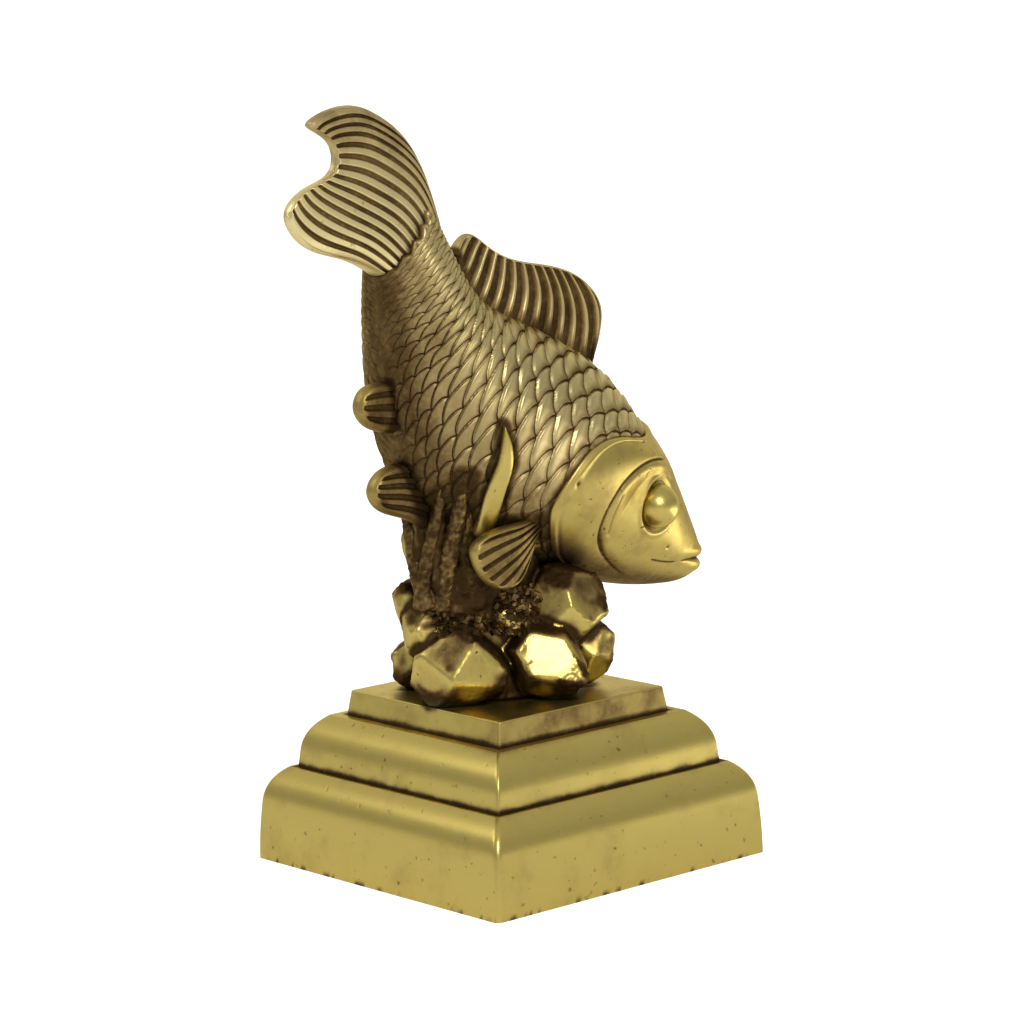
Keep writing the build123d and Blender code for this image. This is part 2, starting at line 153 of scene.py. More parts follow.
# Looks of those fins: half thickness at the root and the edge, rim, grid, rays, depth of the grooves,
# their share of a ray, their patina, how oval the root is, patina all over, and painted shade at the front
FIN_LOOKS = {
    "tail_fin": (0.0082, 0.0018, 0.0007, (300, 120), 14, 0.0010, 0.52, 0.70, 1.0, 0.0, 0.36),
    "dorsal_fin": (0.0027, 0.0016, 0.0008, (280, 90), 13, 0.0010, 0.92, 0.84, 0.0, 0.30, 0.0),
    "anal_fin": (0.0028, 0.0024, 0.0016, (90, 60), 4, 0.0008, 0.60, 0.80, 0.0, 0.58, 0.0),
    "pelvic_fin": (0.0028, 0.0024, 0.0014, (110, 70), 5, 0.0009, 0.60, 0.85, 0.0, 0.60, 0.0),
}

# Pectoral fins: outline as shares of their length and height, and their seat as shares of the carp
PECTORAL_SHARES = (
    (0.150, 0.140), (0.450, 0.060), (0.880, -0.070), (0.995, -0.240), (0.985, -0.440), (0.900, -0.700),
    (0.720, -0.900), (0.540, -0.860), (0.330, -0.430), (0.200, -0.100),
)
PECTORAL_EDGE = (2, 7)
PECTORAL_TUCK_SHARE = 0.14
PECTORAL_ROOT_SHARES = (0.032, 0.299)
PECTORAL_DEPTH_SHARE = 0.415

# Seaweed: the S-shaped blade's two sides from tip to foot, the stem's route, and the strips beside it:
# how far over, as shares of the carp's length and width, and how thick, as a share of the stem
BLADE_FRONT_SHARES = (
    (-0.133, 0.475), (-0.117, 0.443), (-0.111, 0.411), (-0.114, 0.378), (-0.113, 0.335), (-0.100, 0.285),
)
BLADE_REAR_SHARES = (
    (-0.133, 0.475), (-0.136, 0.453), (-0.141, 0.413), (-0.148, 0.380), (-0.147, 0.345), (-0.131, 0.285),
)
STEM_ROUTE_SHARES = (
    (-0.177, -0.275, 0.400), (-0.176, -0.215, 0.330), (-0.180, -0.150, 0.262), (-0.182, -0.110, 0.215),
    (-0.176, -0.050, 0.160),
)
STRIP_OFFSETS = ((-0.026, 0.085, 0.80), (-0.008, 0.110, 0.75), (0.030, 0.000, 0.70), (0.058, 0.010, 0.80))

# Core of the rock: height and middle as shares of the carp, half length and width as shares of the rock
CORE_SHARES = (
    (0.000, 0.010, 0.360, 0.310), (0.110, -0.010, 0.320, 0.270), (0.190, -0.058, 0.360, 0.260),
    (0.260, -0.068, 0.355, 0.255), (0.400, -0.090, 0.290, 0.250),
)

# Boulders: x and y as shares of the rock, height and three sizes as shares of a boulder, turn in degrees
BOULDER_SHARES = (
    (-0.315, -0.040, 0.430, 1.18, 1.20, 0.98, 22),
    (0.000, -0.330, 0.470, 0.97, 0.97, 0.98, 47),
    (-0.380, 0.120, 0.880, 0.70, 0.70, 0.78, 12),
    (-0.362, 0.300, 1.180, 0.48, 0.50, 0.60, 35),
    (-0.288, 0.420, 0.330, 0.48, 0.50, 0.66, 5),
    (0.160, -0.279, 1.110, 1.00, 0.96, 1.00, 30),
    (0.325, -0.286, 0.460, 0.56, 0.58, 0.84, 55),
    (-0.140, -0.235, 1.120, 0.52, 0.50, 0.36, 18),
    (0.385, 0.143, 0.390, 0.84, 0.86, 0.84, 10),
    (0.080, 0.345, 0.490, 1.00, 0.98, 1.00, 40),
    (0.240, 0.200, 1.080, 0.78, 0.80, 0.80, 25),
)
BOULDER_SWELL_SHARE = 1.10

# Crystals: x, y and height of each patch, in the boulders' shares, and its reach as a share of a boulder
CRYSTAL_SHARES = (
    (-0.385, -0.010, 1.060, 0.24), (-0.140, -0.235, 1.150, 0.40), (0.020, -0.230, 1.200, 0.28),
    (-0.290, -0.150, 1.050, 0.20), (-0.140, 0.235, 1.150, 0.40), (0.385, 0.143, 0.750, 0.24),
)

# Facets of a boulder, and the broad front facet of two of them: its direction, and how far out it lies
FACETS = 17
SHOWN_FACETS = {0: (-0.40, -0.91, 0.12, 0.90), 1: (-0.52, -0.78, 0.35, 0.87)}
RUBBED_BOULDER = 1

# Patina and painted shade where pieces meet: the piece that carries it, the piece that it gathers round,
# and its reach
CONTACTS = (
    ("carp_flank", "seaweed_blade", 0.0035), ("carp_flank", "seaweed_stem", 0.0050),
    ("carp_flank", "pectoral_fin", 0.0045), ("carp_flank", "dorsal_fin", 0.0020),
    ("carp_flank", "anal_fin", 0.0022), ("carp_flank", "pelvic_fin", 0.0035),
    ("carp_flank", "rock", 0.0060), ("carp_head", "rock", 0.0045),
    ("rock_cast", "seaweed_stem", 0.0025), ("rock_cast", "pectoral_fin", 0.0030),
    ("rock_cast", "carp_flank", 0.0040), ("plinth", "rock_cast", 0.0022),
    ("pelvic_fin", "seaweed_stem", 0.0040),
)

# Plinth profile from the foot up: inset and rise of each stretch in millimetres, and its swell as a
# share of its length
PLINTH_PROFILE = (
    (0.8, 14.8, 0.012), (5.2, 8.6, 0.12), (1.6, 0.0, 0.0), (0.4, 3.8, 0.0), (5.6, 9.3, 0.12),
    (3.0, 0.0, 0.0), (0.9, 6.1, 0.0),
)

# What each noise and each random draw starts from
SEEDS = {
    "stem": 1, "strips": 2, "crystals": 7, "patches": 11, "grit": 12, "lumps": 13, "grains": 14,
    "clouds": 21, "chips": 22, "stains": 31, "boulders": 40,
}

# Finishes: tone of the bare metal, its roughness, how mottled and how pitted it is
FINISHES = {
    "scaled_brass": ("pale", 0.30, 0.35, 0.4),
    "polished_brass": ("polished", 0.25, 0.30, 0.7),
    "fin_brass": ("pale", 0.28, 0.35, 0.4),
    # The tail's tone is painted light: a lighter copy of the brass for the light that the tail catches
    "tail_brass": ("rubbed_and_lit", 0.30, 0.35, 0.4),
    "small_fin_brass": ("polished", 0.30, 0.45, 0.4),
    "weed_brass": ("polished", 0.28, 0.5, 0.5),
    "rock_brass": ("polished", 0.24, 0.5, 0.7),
    "plinth_brass": ("polished", 0.26, 0.5, 0.45),
}

# Brass seen at a glancing angle, and the depth of its grain
GLANCING_TINT = (0.82, 0.74, 0.54, 1)
GRAIN_DEPTH = 0.00008

# Lamps: place, width and height, the setting that holds its power, and the point that it is aimed at
LAMPS = {
    "key_lamp": ((-0.36, -0.86, 0.66), 0.38, 0.38, "key_power", (0.0, 0.0, 0.09)),
    "floor_panel": ((0.29, -0.20, 0.004), 0.24, 0.34, "panel_power", (0.29, -0.20, 1.0)),
    "rear_lamp": ((-0.66, 0.52, 0.75), 0.50, 0.50, "rear_power", (0.0, 0.0, 0.09)),
}


class CarpSettings(bpy.types.PropertyGroup):
    """Sizes of the carp, its fins and the seaweed."""

    length: FloatProperty(name="Length", description="Snout to tail", default=0.129, unit="LENGTH")
    height: FloatProperty(
        name="Height", description="Plinth to top of the tail", default=0.1467, unit="LENGTH")
    width: FloatProperty(name="Width", description="Across the flanks", default=0.0446, unit="LENGTH")
    gill_relief: FloatProperty(
        name="Gill relief", description="Head's rise over the flank", default=0.001, unit="LENGTH")
    eye_radius: FloatProperty(
        name="Eye radius", description="Ball of the eye", default=0.0057, unit="LENGTH")
    scale_rows: FloatProperty(name="Scale rows", description="Rows from gill to tail", default=32.0)
    scale_columns: FloatProperty(
        name="Scale columns", description="Scales from back to belly", default=7.0)
    scale_lift: FloatProperty(
        name="Scale lift", description="Step at a scale's free edge", default=0.0007, unit="LENGTH")
    scale_bow: FloatProperty(
        name="Scale bow", description="Roundness of a scale's free edge", default=0.16, subtype="FACTOR")
    pectoral_length: FloatProperty(
        name="Pectoral length", description="Root to edge", default=0.028, unit="LENGTH")
    pectoral_height: FloatProperty(
        name="Pectoral height", description="Across the fan", default=0.0164, unit="LENGTH")
    pectoral_splay: FloatProperty(
        name="Pectoral splay", description="Turn from the flank", default=math.radians(8), subtype="ANGLE")
    left_press: FloatProperty(
        name="Left press", description="Left pectoral's further turn to the flank", default=math.radians(9),
        subtype="ANGLE")
    blade_thickness: FloatProperty(
        name="Blade thickness", description="Seaweed blade's rise over the flank", default=0.0024,
        unit="LENGTH")
    stem_radius: FloatProperty(
        name="Stem radius", description="Seaweed stem", default=0.0024, unit="LENGTH")


class BaseSettings(bpy.types.PropertyGroup):
    """Sizes of the rock and the plinth."""

    rock_length: FloatProperty(
        name="Rock length", description="Along the carp", default=0.052, unit="LENGTH")
    rock_width: FloatProperty(
        name="Rock width", description="Across the carp", default=0.042, unit="LENGTH")
    boulder_size: FloatProperty(
        name="Boulder", description="Size of a boulder", default=0.019, unit="LENGTH")
    cast_voxel: FloatProperty(
        name="Casting fineness", description="Finest form in the rock", default=0.00045, unit="LENGTH")
    plinth_corner: FloatProperty(
        name="Foot corner", description="Corner radius at the foot", default=0.0016, unit="LENGTH")
    plinth_edge: FloatProperty(
        name="Worn edge", description="Radius of the plinth's worn edges", default=0.0007, unit="LENGTH")
    plinth_wall: FloatProperty(name="Wall", description="Plinth's wall", default=0.005, unit="LENGTH")


class FinishSettings(bpy.types.PropertyGroup):
    """Colours of the metal."""

    polished: FloatVectorProperty(
        name="Polished brass", description="Head, small fins, seaweed, rock and plinth",
        default=(0.580, 0.455, 0.125), subtype="COLOR", size=3)
    pale: FloatVectorProperty(
        name="Pale brass", description="Flanks and dorsal fin", default=(0.610, 0.495, 0.225),
        subtype="COLOR", size=3)
    # A lighter brass for the tail: painted light, standing in for the light that the tail catches
    rubbed_and_lit: FloatVectorProperty(
        name="Rubbed brass", description="Tail, rubbed bright by hands", default=(0.820, 0.680, 0.335),
        subtype="COLOR", size=3)
    # Aged and tawny brass are also the colours that painted shade takes
    aged: FloatVectorProperty(
        name="Aged brass", description="Brown patina in the hollows", default=(0.058, 0.033, 0.012),
        subtype="COLOR", size=3)
    tawny: FloatVectorProperty(
        name="Tawny brass", description="Thin brown patina", default=(0.270, 0.172, 0.064), subtype="COLOR",
        size=3)
    verdigris: FloatVectorProperty(
        name="Verdigris", description="Green bloom at the foot of the rock", default=(0.090, 0.110, 0.055),
        subtype="COLOR", size=3)
    steel: FloatVectorProperty(
        name="Steel", description="Stud, washer and nut", default=(0.480, 0.470, 0.450), subtype="COLOR",
        size=3)


class StageSettings(bpy.types.PropertyGroup):
    """Camera, floor and lamps."""

    azimuth: FloatProperty(
        name="Azimuth", description="Camera's turn round the part", default=math.radians(-42.16),
        subtype="ANGLE")
    elevation: FloatProperty(
        name="Elevation", description="Camera's height angle", default=math.radians(9.34), subtype="ANGLE")
    roll: FloatProperty(
        name="Roll", description="Camera's lean", default=math.radians(-1.38), subtype="ANGLE")
    distance: FloatProperty(name="Distance", description="Camera to part", default=0.9, unit="LENGTH")
    lens: FloatProperty(name="Lens", description="Focal length in millimetres", default=128.4)
    target: FloatVectorProperty(
        name="Target", description="Point that the camera looks at", default=(0.00177, -0.0016, 0.08685),
        subtype="TRANSLATION", size=3)
    floor_reach: FloatProperty(
        name="Floor", description="Half the floor's side", default=16.0, unit="LENGTH")
    key_power: FloatProperty(
        name="Key lamp", description="Main lamp near the camera", default=4.4, unit="POWER")
    panel_power: FloatProperty(
        name="Floor panel", description="Bright panel on the floor by the head", default=0.65, unit="POWER")
    rear_power: FloatProperty(
        name="Rear lamp", description="Lamp behind the tail", default=1.6, unit="POWER")


# Curves and surfaces


def run_length(points):
    """Distance along a row of points, from the first."""
    return np.concatenate(([0.0], np.cumsum(np.linalg.norm(np.diff(points, axis=0), axis=1))))


def natural_curve(points):
    """Smooth curve through points, as a function of the share of its chord length."""
    points = np.asarray(points, float)
    count = len(points)
    knots = run_length(points)
    knots /= knots[-1]
    gaps = np.diff(knots)
    system = np.eye(count)
    pull = np.zeros_like(points)
    for i in range(1, count - 1):
        system[i, i - 1:i + 2] = gaps[i - 1], 2 * (gaps[i - 1] + gaps[i]), gaps[i]
        pull[i] = 6 * ((points[i + 1] - points[i]) / gaps[i] - (points[i] - points[i - 1]) / gaps[i - 1])
    bend = np.linalg.solve(system, pull)

    def at(share):
        share = np.asarray(share, float)
        i = np.clip(np.searchsorted(knots, share) - 1, 0, count - 2)
        gap = gaps[i][..., None]
        low = (knots[i + 1] - share)[..., None] / gap
        high = 1 - low
        flat = low * points[i] + high * points[i + 1]
        return flat + ((low**3 - low) * bend[i] + (high**3 - high) * bend[i + 1]) * gap**2 / 6

    at.knots = knots
    return at


def even_run(curve, start, end, count):
    """Points spaced evenly along a stretch of a curve."""
    fine = curve(np.linspace(start, end, 400))
    run = run_length(fine)
    places = np.linspace(0, run[-1], count)
    return np.stack([np.interp(places, run, fine[:, k]) for k in range(fine.shape[1])], axis=-1)


def smooth(value, low, high):
    """0 below low, 1 above high, and an S between."""
    share = np.clip((value - low) / (high - low), 0, 1)
    return share * share * (3 - 2 * share)


def bump(value, width):
    """1 at zero, fading to nothing over about twice the width."""
    return np.exp(-(value / width) ** 2)


def quarter_round(share):
    """0 at zero, rising like a quarter of a circle to 1."""
    return np.sqrt(np.clip(1 - (1 - np.minimum(share, 1)) ** 2, 0, 1))


def crowded(count):
    """Shares from 0 to 1 that lie closer together at both ends."""
    return (1 - np.cos(np.linspace(0, math.pi, count))) / 2 * 0.4 + np.linspace(0, 1, count) * 0.6


def distance_to_line(points, line):
    """Distance from each point to a sampled line, and the share of the line at the nearest place."""
    flat = points.reshape(-1, 2)
    away = np.linalg.norm(flat[:, None, :] - line[None, :, :], axis=2)
    nearest = away.argmin(axis=1)
    share = nearest / (len(line) - 1)
    return away.min(axis=1).reshape(points.shape[:-1]), share.reshape(points.shape[:-1])


def line_number(front_shares, tail_shares, row, column, columns):
    """Number of the line of scales, of one family, through each row and column."""
    front = np.minimum(row, TAIL_ROW)
    tail = row - front
    front_terms = (1, front, column, front**2, front * column, column**2)
    tail_terms = (tail, tail**2, tail * (column - columns / 2))
    return sum(
        share * term for share, term in zip(front_shares + tail_shares, front_terms + tail_terms))


def fish_places(shares, carp):
    """Shares of the carp's length and height as x and z."""
    return np.array(shares) * (carp.length, carp.height) + (0, PLINTH_TOP)


class Hull:
    """Oval-sectioned body of the carp: a point for each place along it and round it."""

    def __init__(self, carp):
        table = np.array(STATION_SHARES)
        sizes = (carp.length, carp.height, carp.length, carp.height, carp.width)
        self.stations = natural_curve(table * sizes + (0, PLINTH_TOP, 0, PLINTH_TOP, 0))

    def section(self, along):
        """Middle, unit rise from belly to back, half height and half width of a section."""
        row = self.stations(along)
        middle = (row[..., :2] + row[..., 2:4]) / 2
        rise = (row[..., :2] - row[..., 2:4]) / 2
        half_height = np.linalg.norm(rise, axis=-1)
        return middle, rise / half_height[..., None], half_height, row[..., 4]

    def length(self):
        """Length of the body's middle line."""
        middle, _, _, _ = self.section(np.linspace(0, 1, 200))
        return np.linalg.norm(np.diff(middle, axis=0), axis=1).sum()

    def point(self, along, around, grow, side):
        """Point at an angle round a section from the back, with the section grown all round."""
        middle, unit, half_height, half_width = self.section(along)
        place = middle + unit * ((half_height + grow) * np.cos(around))[..., None]
        breadth = side * (half_width + grow) * np.sin(around)
        return np.stack([place[..., 0], breadth, place[..., 1]], axis=-1)

    def outward(self, along, around, side):
        """Unit normal of the body, level across the middle plane at the back and the belly."""
        step = 1e-4
        run = self.point(along + step, around, 0, side) - self.point(along - step, around, 0, side)
        turn = self.point(along, around + step, 0, side) - self.point(along, around - step, 0, side)
        normal = np.cross(run, turn) * -side
        normal /= np.linalg.norm(normal, axis=-1, keepdims=True)
        return normal

    def find(self, places):
        """Place along and angle round the body of points given by x and z on a flank."""
        along = np.linspace(0, 1, 1500)
        middle, unit, half_height, _ = self.section(along)
        away = places[:, None, :] - middle[None]
        off = away[..., 0] * unit[None, :, 1] - away[..., 1] * unit[None, :, 0]
        rise = (away * unit[None]).sum(-1) / half_height
        off = np.where(np.abs(rise) < 1.4, np.abs(off), 1.0)
        nearest = off.argmin(axis=1)
        height = rise[np.arange(len(places)), nearest]
        return along[nearest], np.arccos(np.clip(height, -1, 1)), height

    def gill_line(self, carp, around):
        """Where the gill cover ends along the body, at each angle round it."""
        edge = natural_curve(fish_places(GILL_EDGE_SHARES, carp))(np.linspace(0, 1, 300))
        along, _, height = self.find(edge)
        kept = np.abs(height) < 1.2
        order = np.argsort(-height[kept])
        line = np.interp(-np.cos(around), -height[kept][order], along[kept][order])
        for _ in range(6):
            line[1:-1] = (line[:-2] + 2 * line[1:-1] + line[2:]) / 4
        return line


# Meshes


def grid_mesh(name, points, attributes=None, closed=False):
    """Quads over rows and columns of points, with values carried on the points."""
    rows, columns = points.shape[:2]
    index = np.arange(rows * columns).reshape(rows, columns)
    if closed:
        index = np.concatenate([index, index[:, :1]], axis=1)
    quads = np.stack([index[:-1, :-1], index[1:, :-1], index[1:, 1:], index[:-1, 1:]], axis=-1)
    mesh = bpy.data.meshes.new(name)
    mesh.from_pydata(points.reshape(-1, 3).tolist(), [], quads.reshape(-1, 4).tolist())
    for key, values in (attributes or {}).items():
        set_values(mesh, key, values)
    return mesh


def set_values(mesh, key, values):
    """Store a number or a direction on every point of a mesh."""
    values = np.asarray(values, np.float32)
    vector = values.ndim > 1 and values.shape[-1] == 3 and values.size == 3 * len(mesh.vertices)
    layer = mesh.attributes.get(key) or mesh.attributes.new(
        key, "FLOAT_VECTOR" if vector else "FLOAT", "POINT")
    layer.data.foreach_set("vector" if vector else "value", values.ravel())


def get_values(mesh, key):
    """Numbers stored on the points of a mesh, or zeros."""
    values = np.zeros(len(mesh.vertices), np.float32)
    if key in mesh.attributes:
        mesh.attributes[key].data.foreach_get("value", values)
    return values


def vertex_array(mesh, key="co"):
    """Places or normals of a mesh's points."""
    values = np.zeros(len(mesh.vertices) * 3, np.float32)
    if key == "co":
        mesh.vertices.foreach_get("co", values)
    else:
        mesh.vertex_normals.foreach_get("vector", values)
    return values.reshape(-1, 3).astype(float)


def sealed(mesh, reach=2e-6):
    """Merge doubled points and turn every face outwards."""
    work = bmesh.new()
    work.from_mesh(mesh)
    bmesh.ops.remove_doubles(work, verts=work.verts, dist=reach)
    bmesh.ops.dissolve_degenerate(work, edges=work.edges, dist=reach / 4)
    bmesh.ops.recalc_face_normals(work, faces=work.faces)
    work.to_mesh(mesh)
    work.free()
    mesh.shade_smooth()
    return mesh


def placed(name, mesh, material=None):
    """Link a mesh as an object at the origin."""
    piece = bpy.data.objects.new(name, mesh)
    bpy.context.scene.collection.objects.link(piece)
    if material:
        mesh.materials.clear()
        mesh.materials.append(material)
    return piece


def joined(name, meshes):
    """One mesh out of several, with the values on their points kept."""
    work = bmesh.new()
    for mesh in meshes:
        work.from_mesh(mesh)
    result = bpy.data.meshes.new(name)
    work.to_mesh(result)
    work.free()
    return result


def baked(piece):
    """Turn what a piece's modifiers make into its plain mesh."""
    depsgraph = bpy.context.evaluated_depsgraph_get()
    mesh = bpy.data.meshes.new_from_object(
        piece.evaluated_get(depsgraph), preserve_all_data_layers=True, depsgraph=depsgraph)
    piece.modifiers.clear()
    piece.data = mesh
    mesh.shade_smooth()
    return piece


def planed(work, place, normal):
    """Cut away what lies outside a plane, and return the edges of the cut."""
    made = bmesh.ops.bisect_plane(
        work, geom=work.verts[:] + work.edges[:] + work.faces[:], plane_co=place, plane_no=normal,
        clear_outer=True)
    return [item for item in made["geom_cut"] if isinstance(item, bmesh.types.BMEdge)]


def declare(piece, slot, *nodes):
    """Tie a finished piece to the frame."""
    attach(piece, "root")
    if nodes:
        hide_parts(*nodes)
    return piece


def curvature(mesh, rounds):
    """Hollows are positive and edges negative, averaged over the neighbouring points in rounds."""
    places = vertex_array(mesh)
    normals = vertex_array(mesh, "normal")
    ends = np.zeros(len(mesh.edges) * 2, np.int32)
    mesh.edges.foreach_get("vertices", ends)
    first, second = ends.reshape(-1, 2).T
    run = places[second] - places[first]
    run /= np.maximum(np.linalg.norm(run, axis=1), 1e-7)[:, None]
    count = len(places)
    degree = np.maximum(np.bincount(first, minlength=count) + np.bincount(second, minlength=count), 1)
    values = np.bincount(first, (run * normals[first]).sum(1), count)
    values += np.bincount(second, (-run * normals[second]).sum(1), count)
    values = values / degree
    for _ in range(rounds):
        total = np.bincount(first, values[second], count) + np.bincount(second, values[first], count)
        values = 0.5 * values + 0.5 * total / degree
    return values


def rough(places, size, seed, octaves=3):
    """Noise from -1 to 1 at points, with features of a given size."""
    shift = Vector((seed * 7.31, seed * 3.77, seed * 5.13))
    return np.array([
        noise.fractal(Vector(place) / size + shift, 1.0, 2.0, octaves, noise_basis="PERLIN_ORIGINAL")
        for place in places.reshape(-1, 3)
    ]).reshape(places.shape[:-1])


# Node graphs


class Graph:
    """Adds nodes to a tree and wires them as they are made."""

    def __init__(self, tree):
        self.tree = tree

    def add(self, kind, inputs=None, **settings):
        """New node with its settings, and with values or links on its named or numbered inputs."""
        node = self.tree.nodes.new(kind)
        for name, value in settings.items():
            setattr(node, name, value)
        for key, value in (inputs or {}).items():
            self.feed(self.socket(node.inputs, key), value)
        return node

    @staticmethod
    def socket(sockets, key):
        """Socket by its number, or the one in use by its name."""
        if isinstance(key, int):
            return sockets[key]
        return next(socket for socket in sockets if socket.name == key and socket.enabled)

    def feed(self, socket, value):
        """Link a socket, or set its value."""
        if isinstance(value, bpy.types.NodeSocket):
            self.tree.links.new(value, socket)
        else:
            socket.default_value = value

    def math(self, operation, *values):
        """One sum on numbers."""
        node = self.add("ShaderNodeMath", dict(enumerate(values)), operation=operation)
        return node.outputs[0]

    def ramp(self, value, low, high, start=0.0, end=1.0):
        """Smooth step from start to end as a value goes from low to high."""
        inputs = dict(enumerate((value, low, high, start, end)))
        return self.add("ShaderNodeMapRange", inputs, interpolation_type="SMOOTHSTEP").outputs[0]

    def mix(self, factor, first, second):
        """Mix of two colours."""
        node = self.add("ShaderNodeMix", {0: factor, 6: first, 7: second}, data_type="RGBA")
        return node.outputs[2]

    def noise(self, vector, scale, detail=3.0, roughness=0.55):
        """Noise value at a scale in features per metre."""
        inputs = {"Vector": vector, "Scale": scale, "Detail": detail, "Roughness": roughness}
        return self.add("ShaderNodeTexNoise", inputs).outputs[0]

    def attribute(self, name):
        """Number carried on a mesh's points, in a material."""
        return self.add("ShaderNodeAttribute", attribute_name=name).outputs["Fac"]

    def point_value(self, name, kind="FLOAT"):
        """Number or direction carried on a mesh's points, in a geometry tree."""
        node = self.add("GeometryNodeInputNamedAttribute", {"Name": name}, data_type=kind)
        return self.socket(node.outputs, "Attribute")


def group_sockets(tree, inputs, outputs):
    """Give a group its named sockets, and return its input and output nodes."""
    for name, kind, value in inputs:
        socket = tree.interface.new_socket(name, in_out="INPUT", socket_type=f"NodeSocket{kind}")
        if value is not None:
            socket.default_value = value
    for name, kind in outputs:
        tree.interface.new_socket(name, in_out="OUTPUT", socket_type=f"NodeSocket{kind}")
    return tree.nodes.new("NodeGroupInput"), tree.nodes.new("NodeGroupOutput")


def geometry_tree(name, *sizes):
    """New geometry tree with named sizes: the tree, its graph, its input and its output."""
    tree = bpy.data.node_groups.new(name, "GeometryNodeTree")
    inputs = (("Geometry", "Geometry", None), *sizes, ("Material", "Material", None))
    source, output = group_sockets(tree, inputs, (("Geometry", "Geometry"),))
    return tree, Graph(tree), source, output


def scale_lattice(graph, upright, slanted, bow):
    """Place inside a scale: least distance from its two hidden edges and from its two free edges."""
    lines = upright, slanted
    shares = []
    for line, across in (lines, lines[::-1]):
        swell = graph.math("SINE", graph.math("MULTIPLY", graph.math("FRACT", across), math.pi))
        bent = graph.math("SUBTRACT", line, graph.math("MULTIPLY", swell, bow))
        shares.append(graph.math("FRACT", bent))
    hidden = graph.math("MINIMUM", *shares)
    free = graph.math("SUBTRACT", 1.0, graph.math("MAXIMUM", *shares))
    return hidden, free


def finish_tree(graph, geometry, source, output):
    """End a geometry tree with realised instances and the piece's material."""
    solid = graph.add("GeometryNodeRealizeInstances", {"Geometry": geometry})
    inputs = {"Geometry": solid.outputs[0], "Material": source.outputs["Material"]}
    dressed = graph.add("GeometryNodeSetMaterial", inputs)
    graph.feed(output.inputs["Geometry"], dressed.outputs[0])


def moved_out(graph, geometry, height):
    """Move points along the direction that they carry."""
    offset = graph.add(
        "ShaderNodeVectorMath", {0: graph.point_value("outward", "FLOAT_VECTOR"), 3: height},
        operation="SCALE")
    inputs = {"Geometry": geometry, "Offset": offset.outputs[0]}
    return graph.add("GeometryNodeSetPosition", inputs).outputs[0]


def stored(graph, geometry, name, value):
    """Store a number on the points in a geometry tree."""
    inputs = {"Geometry": geometry, "Name": name, "Value": value}
    node = graph.add("GeometryNodeStoreNamedAttribute", inputs, data_type="FLOAT", domain="POINT")
    return node.outputs[0]


def scale_tree():
    """Geometry tree that raises overlapping scales on a flank."""
    tree, graph, source, output = geometry_tree(
        "scale_relief", ("Lift", "Float", 0.0008), ("Bow", "Float", 0.2))
    hidden, free = scale_lattice(
        graph, graph.point_value("upright"), graph.point_value("slanted"), source.outputs["Bow"])
    slope = graph.ramp(hidden, -0.05, 0.75, 0.40, 1.0)
    brow = graph.ramp(free, 0.0, 0.16)
    groove = graph.ramp(graph.math("MINIMUM", hidden, free), 0.0, 0.09, -0.35, 0.0)
    height = graph.math("ADD", graph.math("MULTIPLY", slope, brow), groove)
    height = graph.math("MULTIPLY", height, graph.point_value("fade"))
    height = graph.math("MULTIPLY", height, source.outputs["Lift"])
    finish_tree(graph, moved_out(graph, source.outputs["Geometry"], height), source, output)
    return tree


def ray_tree():
    """Geometry tree that sinks grooves between a fin's rays."""
    tree, graph, source, output = geometry_tree(
        "fin_rays", ("Rays", "Float", 12.0), ("Depth", "Float", 0.0008), ("Groove share", "Float", 0.5),
        ("Shade", "Float", 0.8))
    count = graph.math("MULTIPLY", graph.point_value("across"), source.outputs["Rays"])
    ray = graph.math("FRACT", count)
    off = graph.math("MULTIPLY", graph.math("ABSOLUTE", graph.math("SUBTRACT", ray, 0.5)), 2.0)
    flat = graph.math("SUBTRACT", 1.0, source.outputs["Groove share"])
    sunk = graph.ramp(off, flat, graph.math("ADD", graph.math("MULTIPLY", flat, 0.5), 0.5))
    sunk = graph.math("MULTIPLY", sunk, graph.point_value("fade"))
    height = graph.math("MULTIPLY", graph.math("MULTIPLY", sunk, source.outputs["Depth"]), -1.0)
    grime = graph.math("MULTIPLY", sunk, source.outputs["Shade"])
    grime = graph.math("MAXIMUM", grime, graph.point_value("hollow"))
    marked = stored(graph, source.outputs["Geometry"], "hollow", grime)
    finish_tree(graph, moved_out(graph, marked, height), source, output)
    return tree


def crystal_tree():
    """Geometry tree that scatters small crystals where the rock is rough."""
    tree, graph, source, output = geometry_tree(
        "rock_crystals", ("Size", "Float", 0.0006), ("Density", "Float", 2.0e6), ("Seed", "Int", 7))
    density = graph.math("MULTIPLY", source.outputs["Density"], graph.point_value("granular"))
    scatter = graph.add("GeometryNodeDistributePointsOnFaces", {
        "Mesh": source.outputs["Geometry"], "Density": density, "Seed": source.outputs["Seed"]})
    grain = graph.add("GeometryNodeMeshCube", {"Size": (1.0, 1.0, 1.0)})
    turn = graph.add("FunctionNodeRandomValue", {
        "Min": (-3.1, -3.1, -3.1), "Max": (3.1, 3.1, 3.1), "Seed": 3}, data_type="FLOAT_VECTOR")
    size = graph.add("FunctionNodeRandomValue", {"Min": 0.5, "Max": 1.5, "Seed": 5}, data_type="FLOAT")
    edge = graph.math("MULTIPLY", graph.socket(size.outputs, "Value"), source.outputs["Size"])
    grains = graph.add("GeometryNodeInstanceOnPoints", {
        "Points": scatter.outputs["Points"], "Instance": grain.outputs["Mesh"],
        "Rotation": graph.socket(turn.outputs, "Value"), "Scale": edge})
    finish_tree(graph, grains.outputs[0], source, output)
    return tree


def shaped_by(piece, tree, material, **inputs):
    """Run a geometry tree on a piece with its named inputs set, and keep the result as a mesh."""
    modifier = piece.modifiers.new(tree.name, "NODES")
    modifier.node_group = tree
    values = {name.replace("_", " ").capitalize(): value for name, value in inputs.items()}
    values["Material"] = material
    for item in tree.interface.items_tree:
        if item.in_out == "INPUT" and item.name in values:
            modifier[item.identifier] = values[item.name]
    return baked(piece)


# Finishes


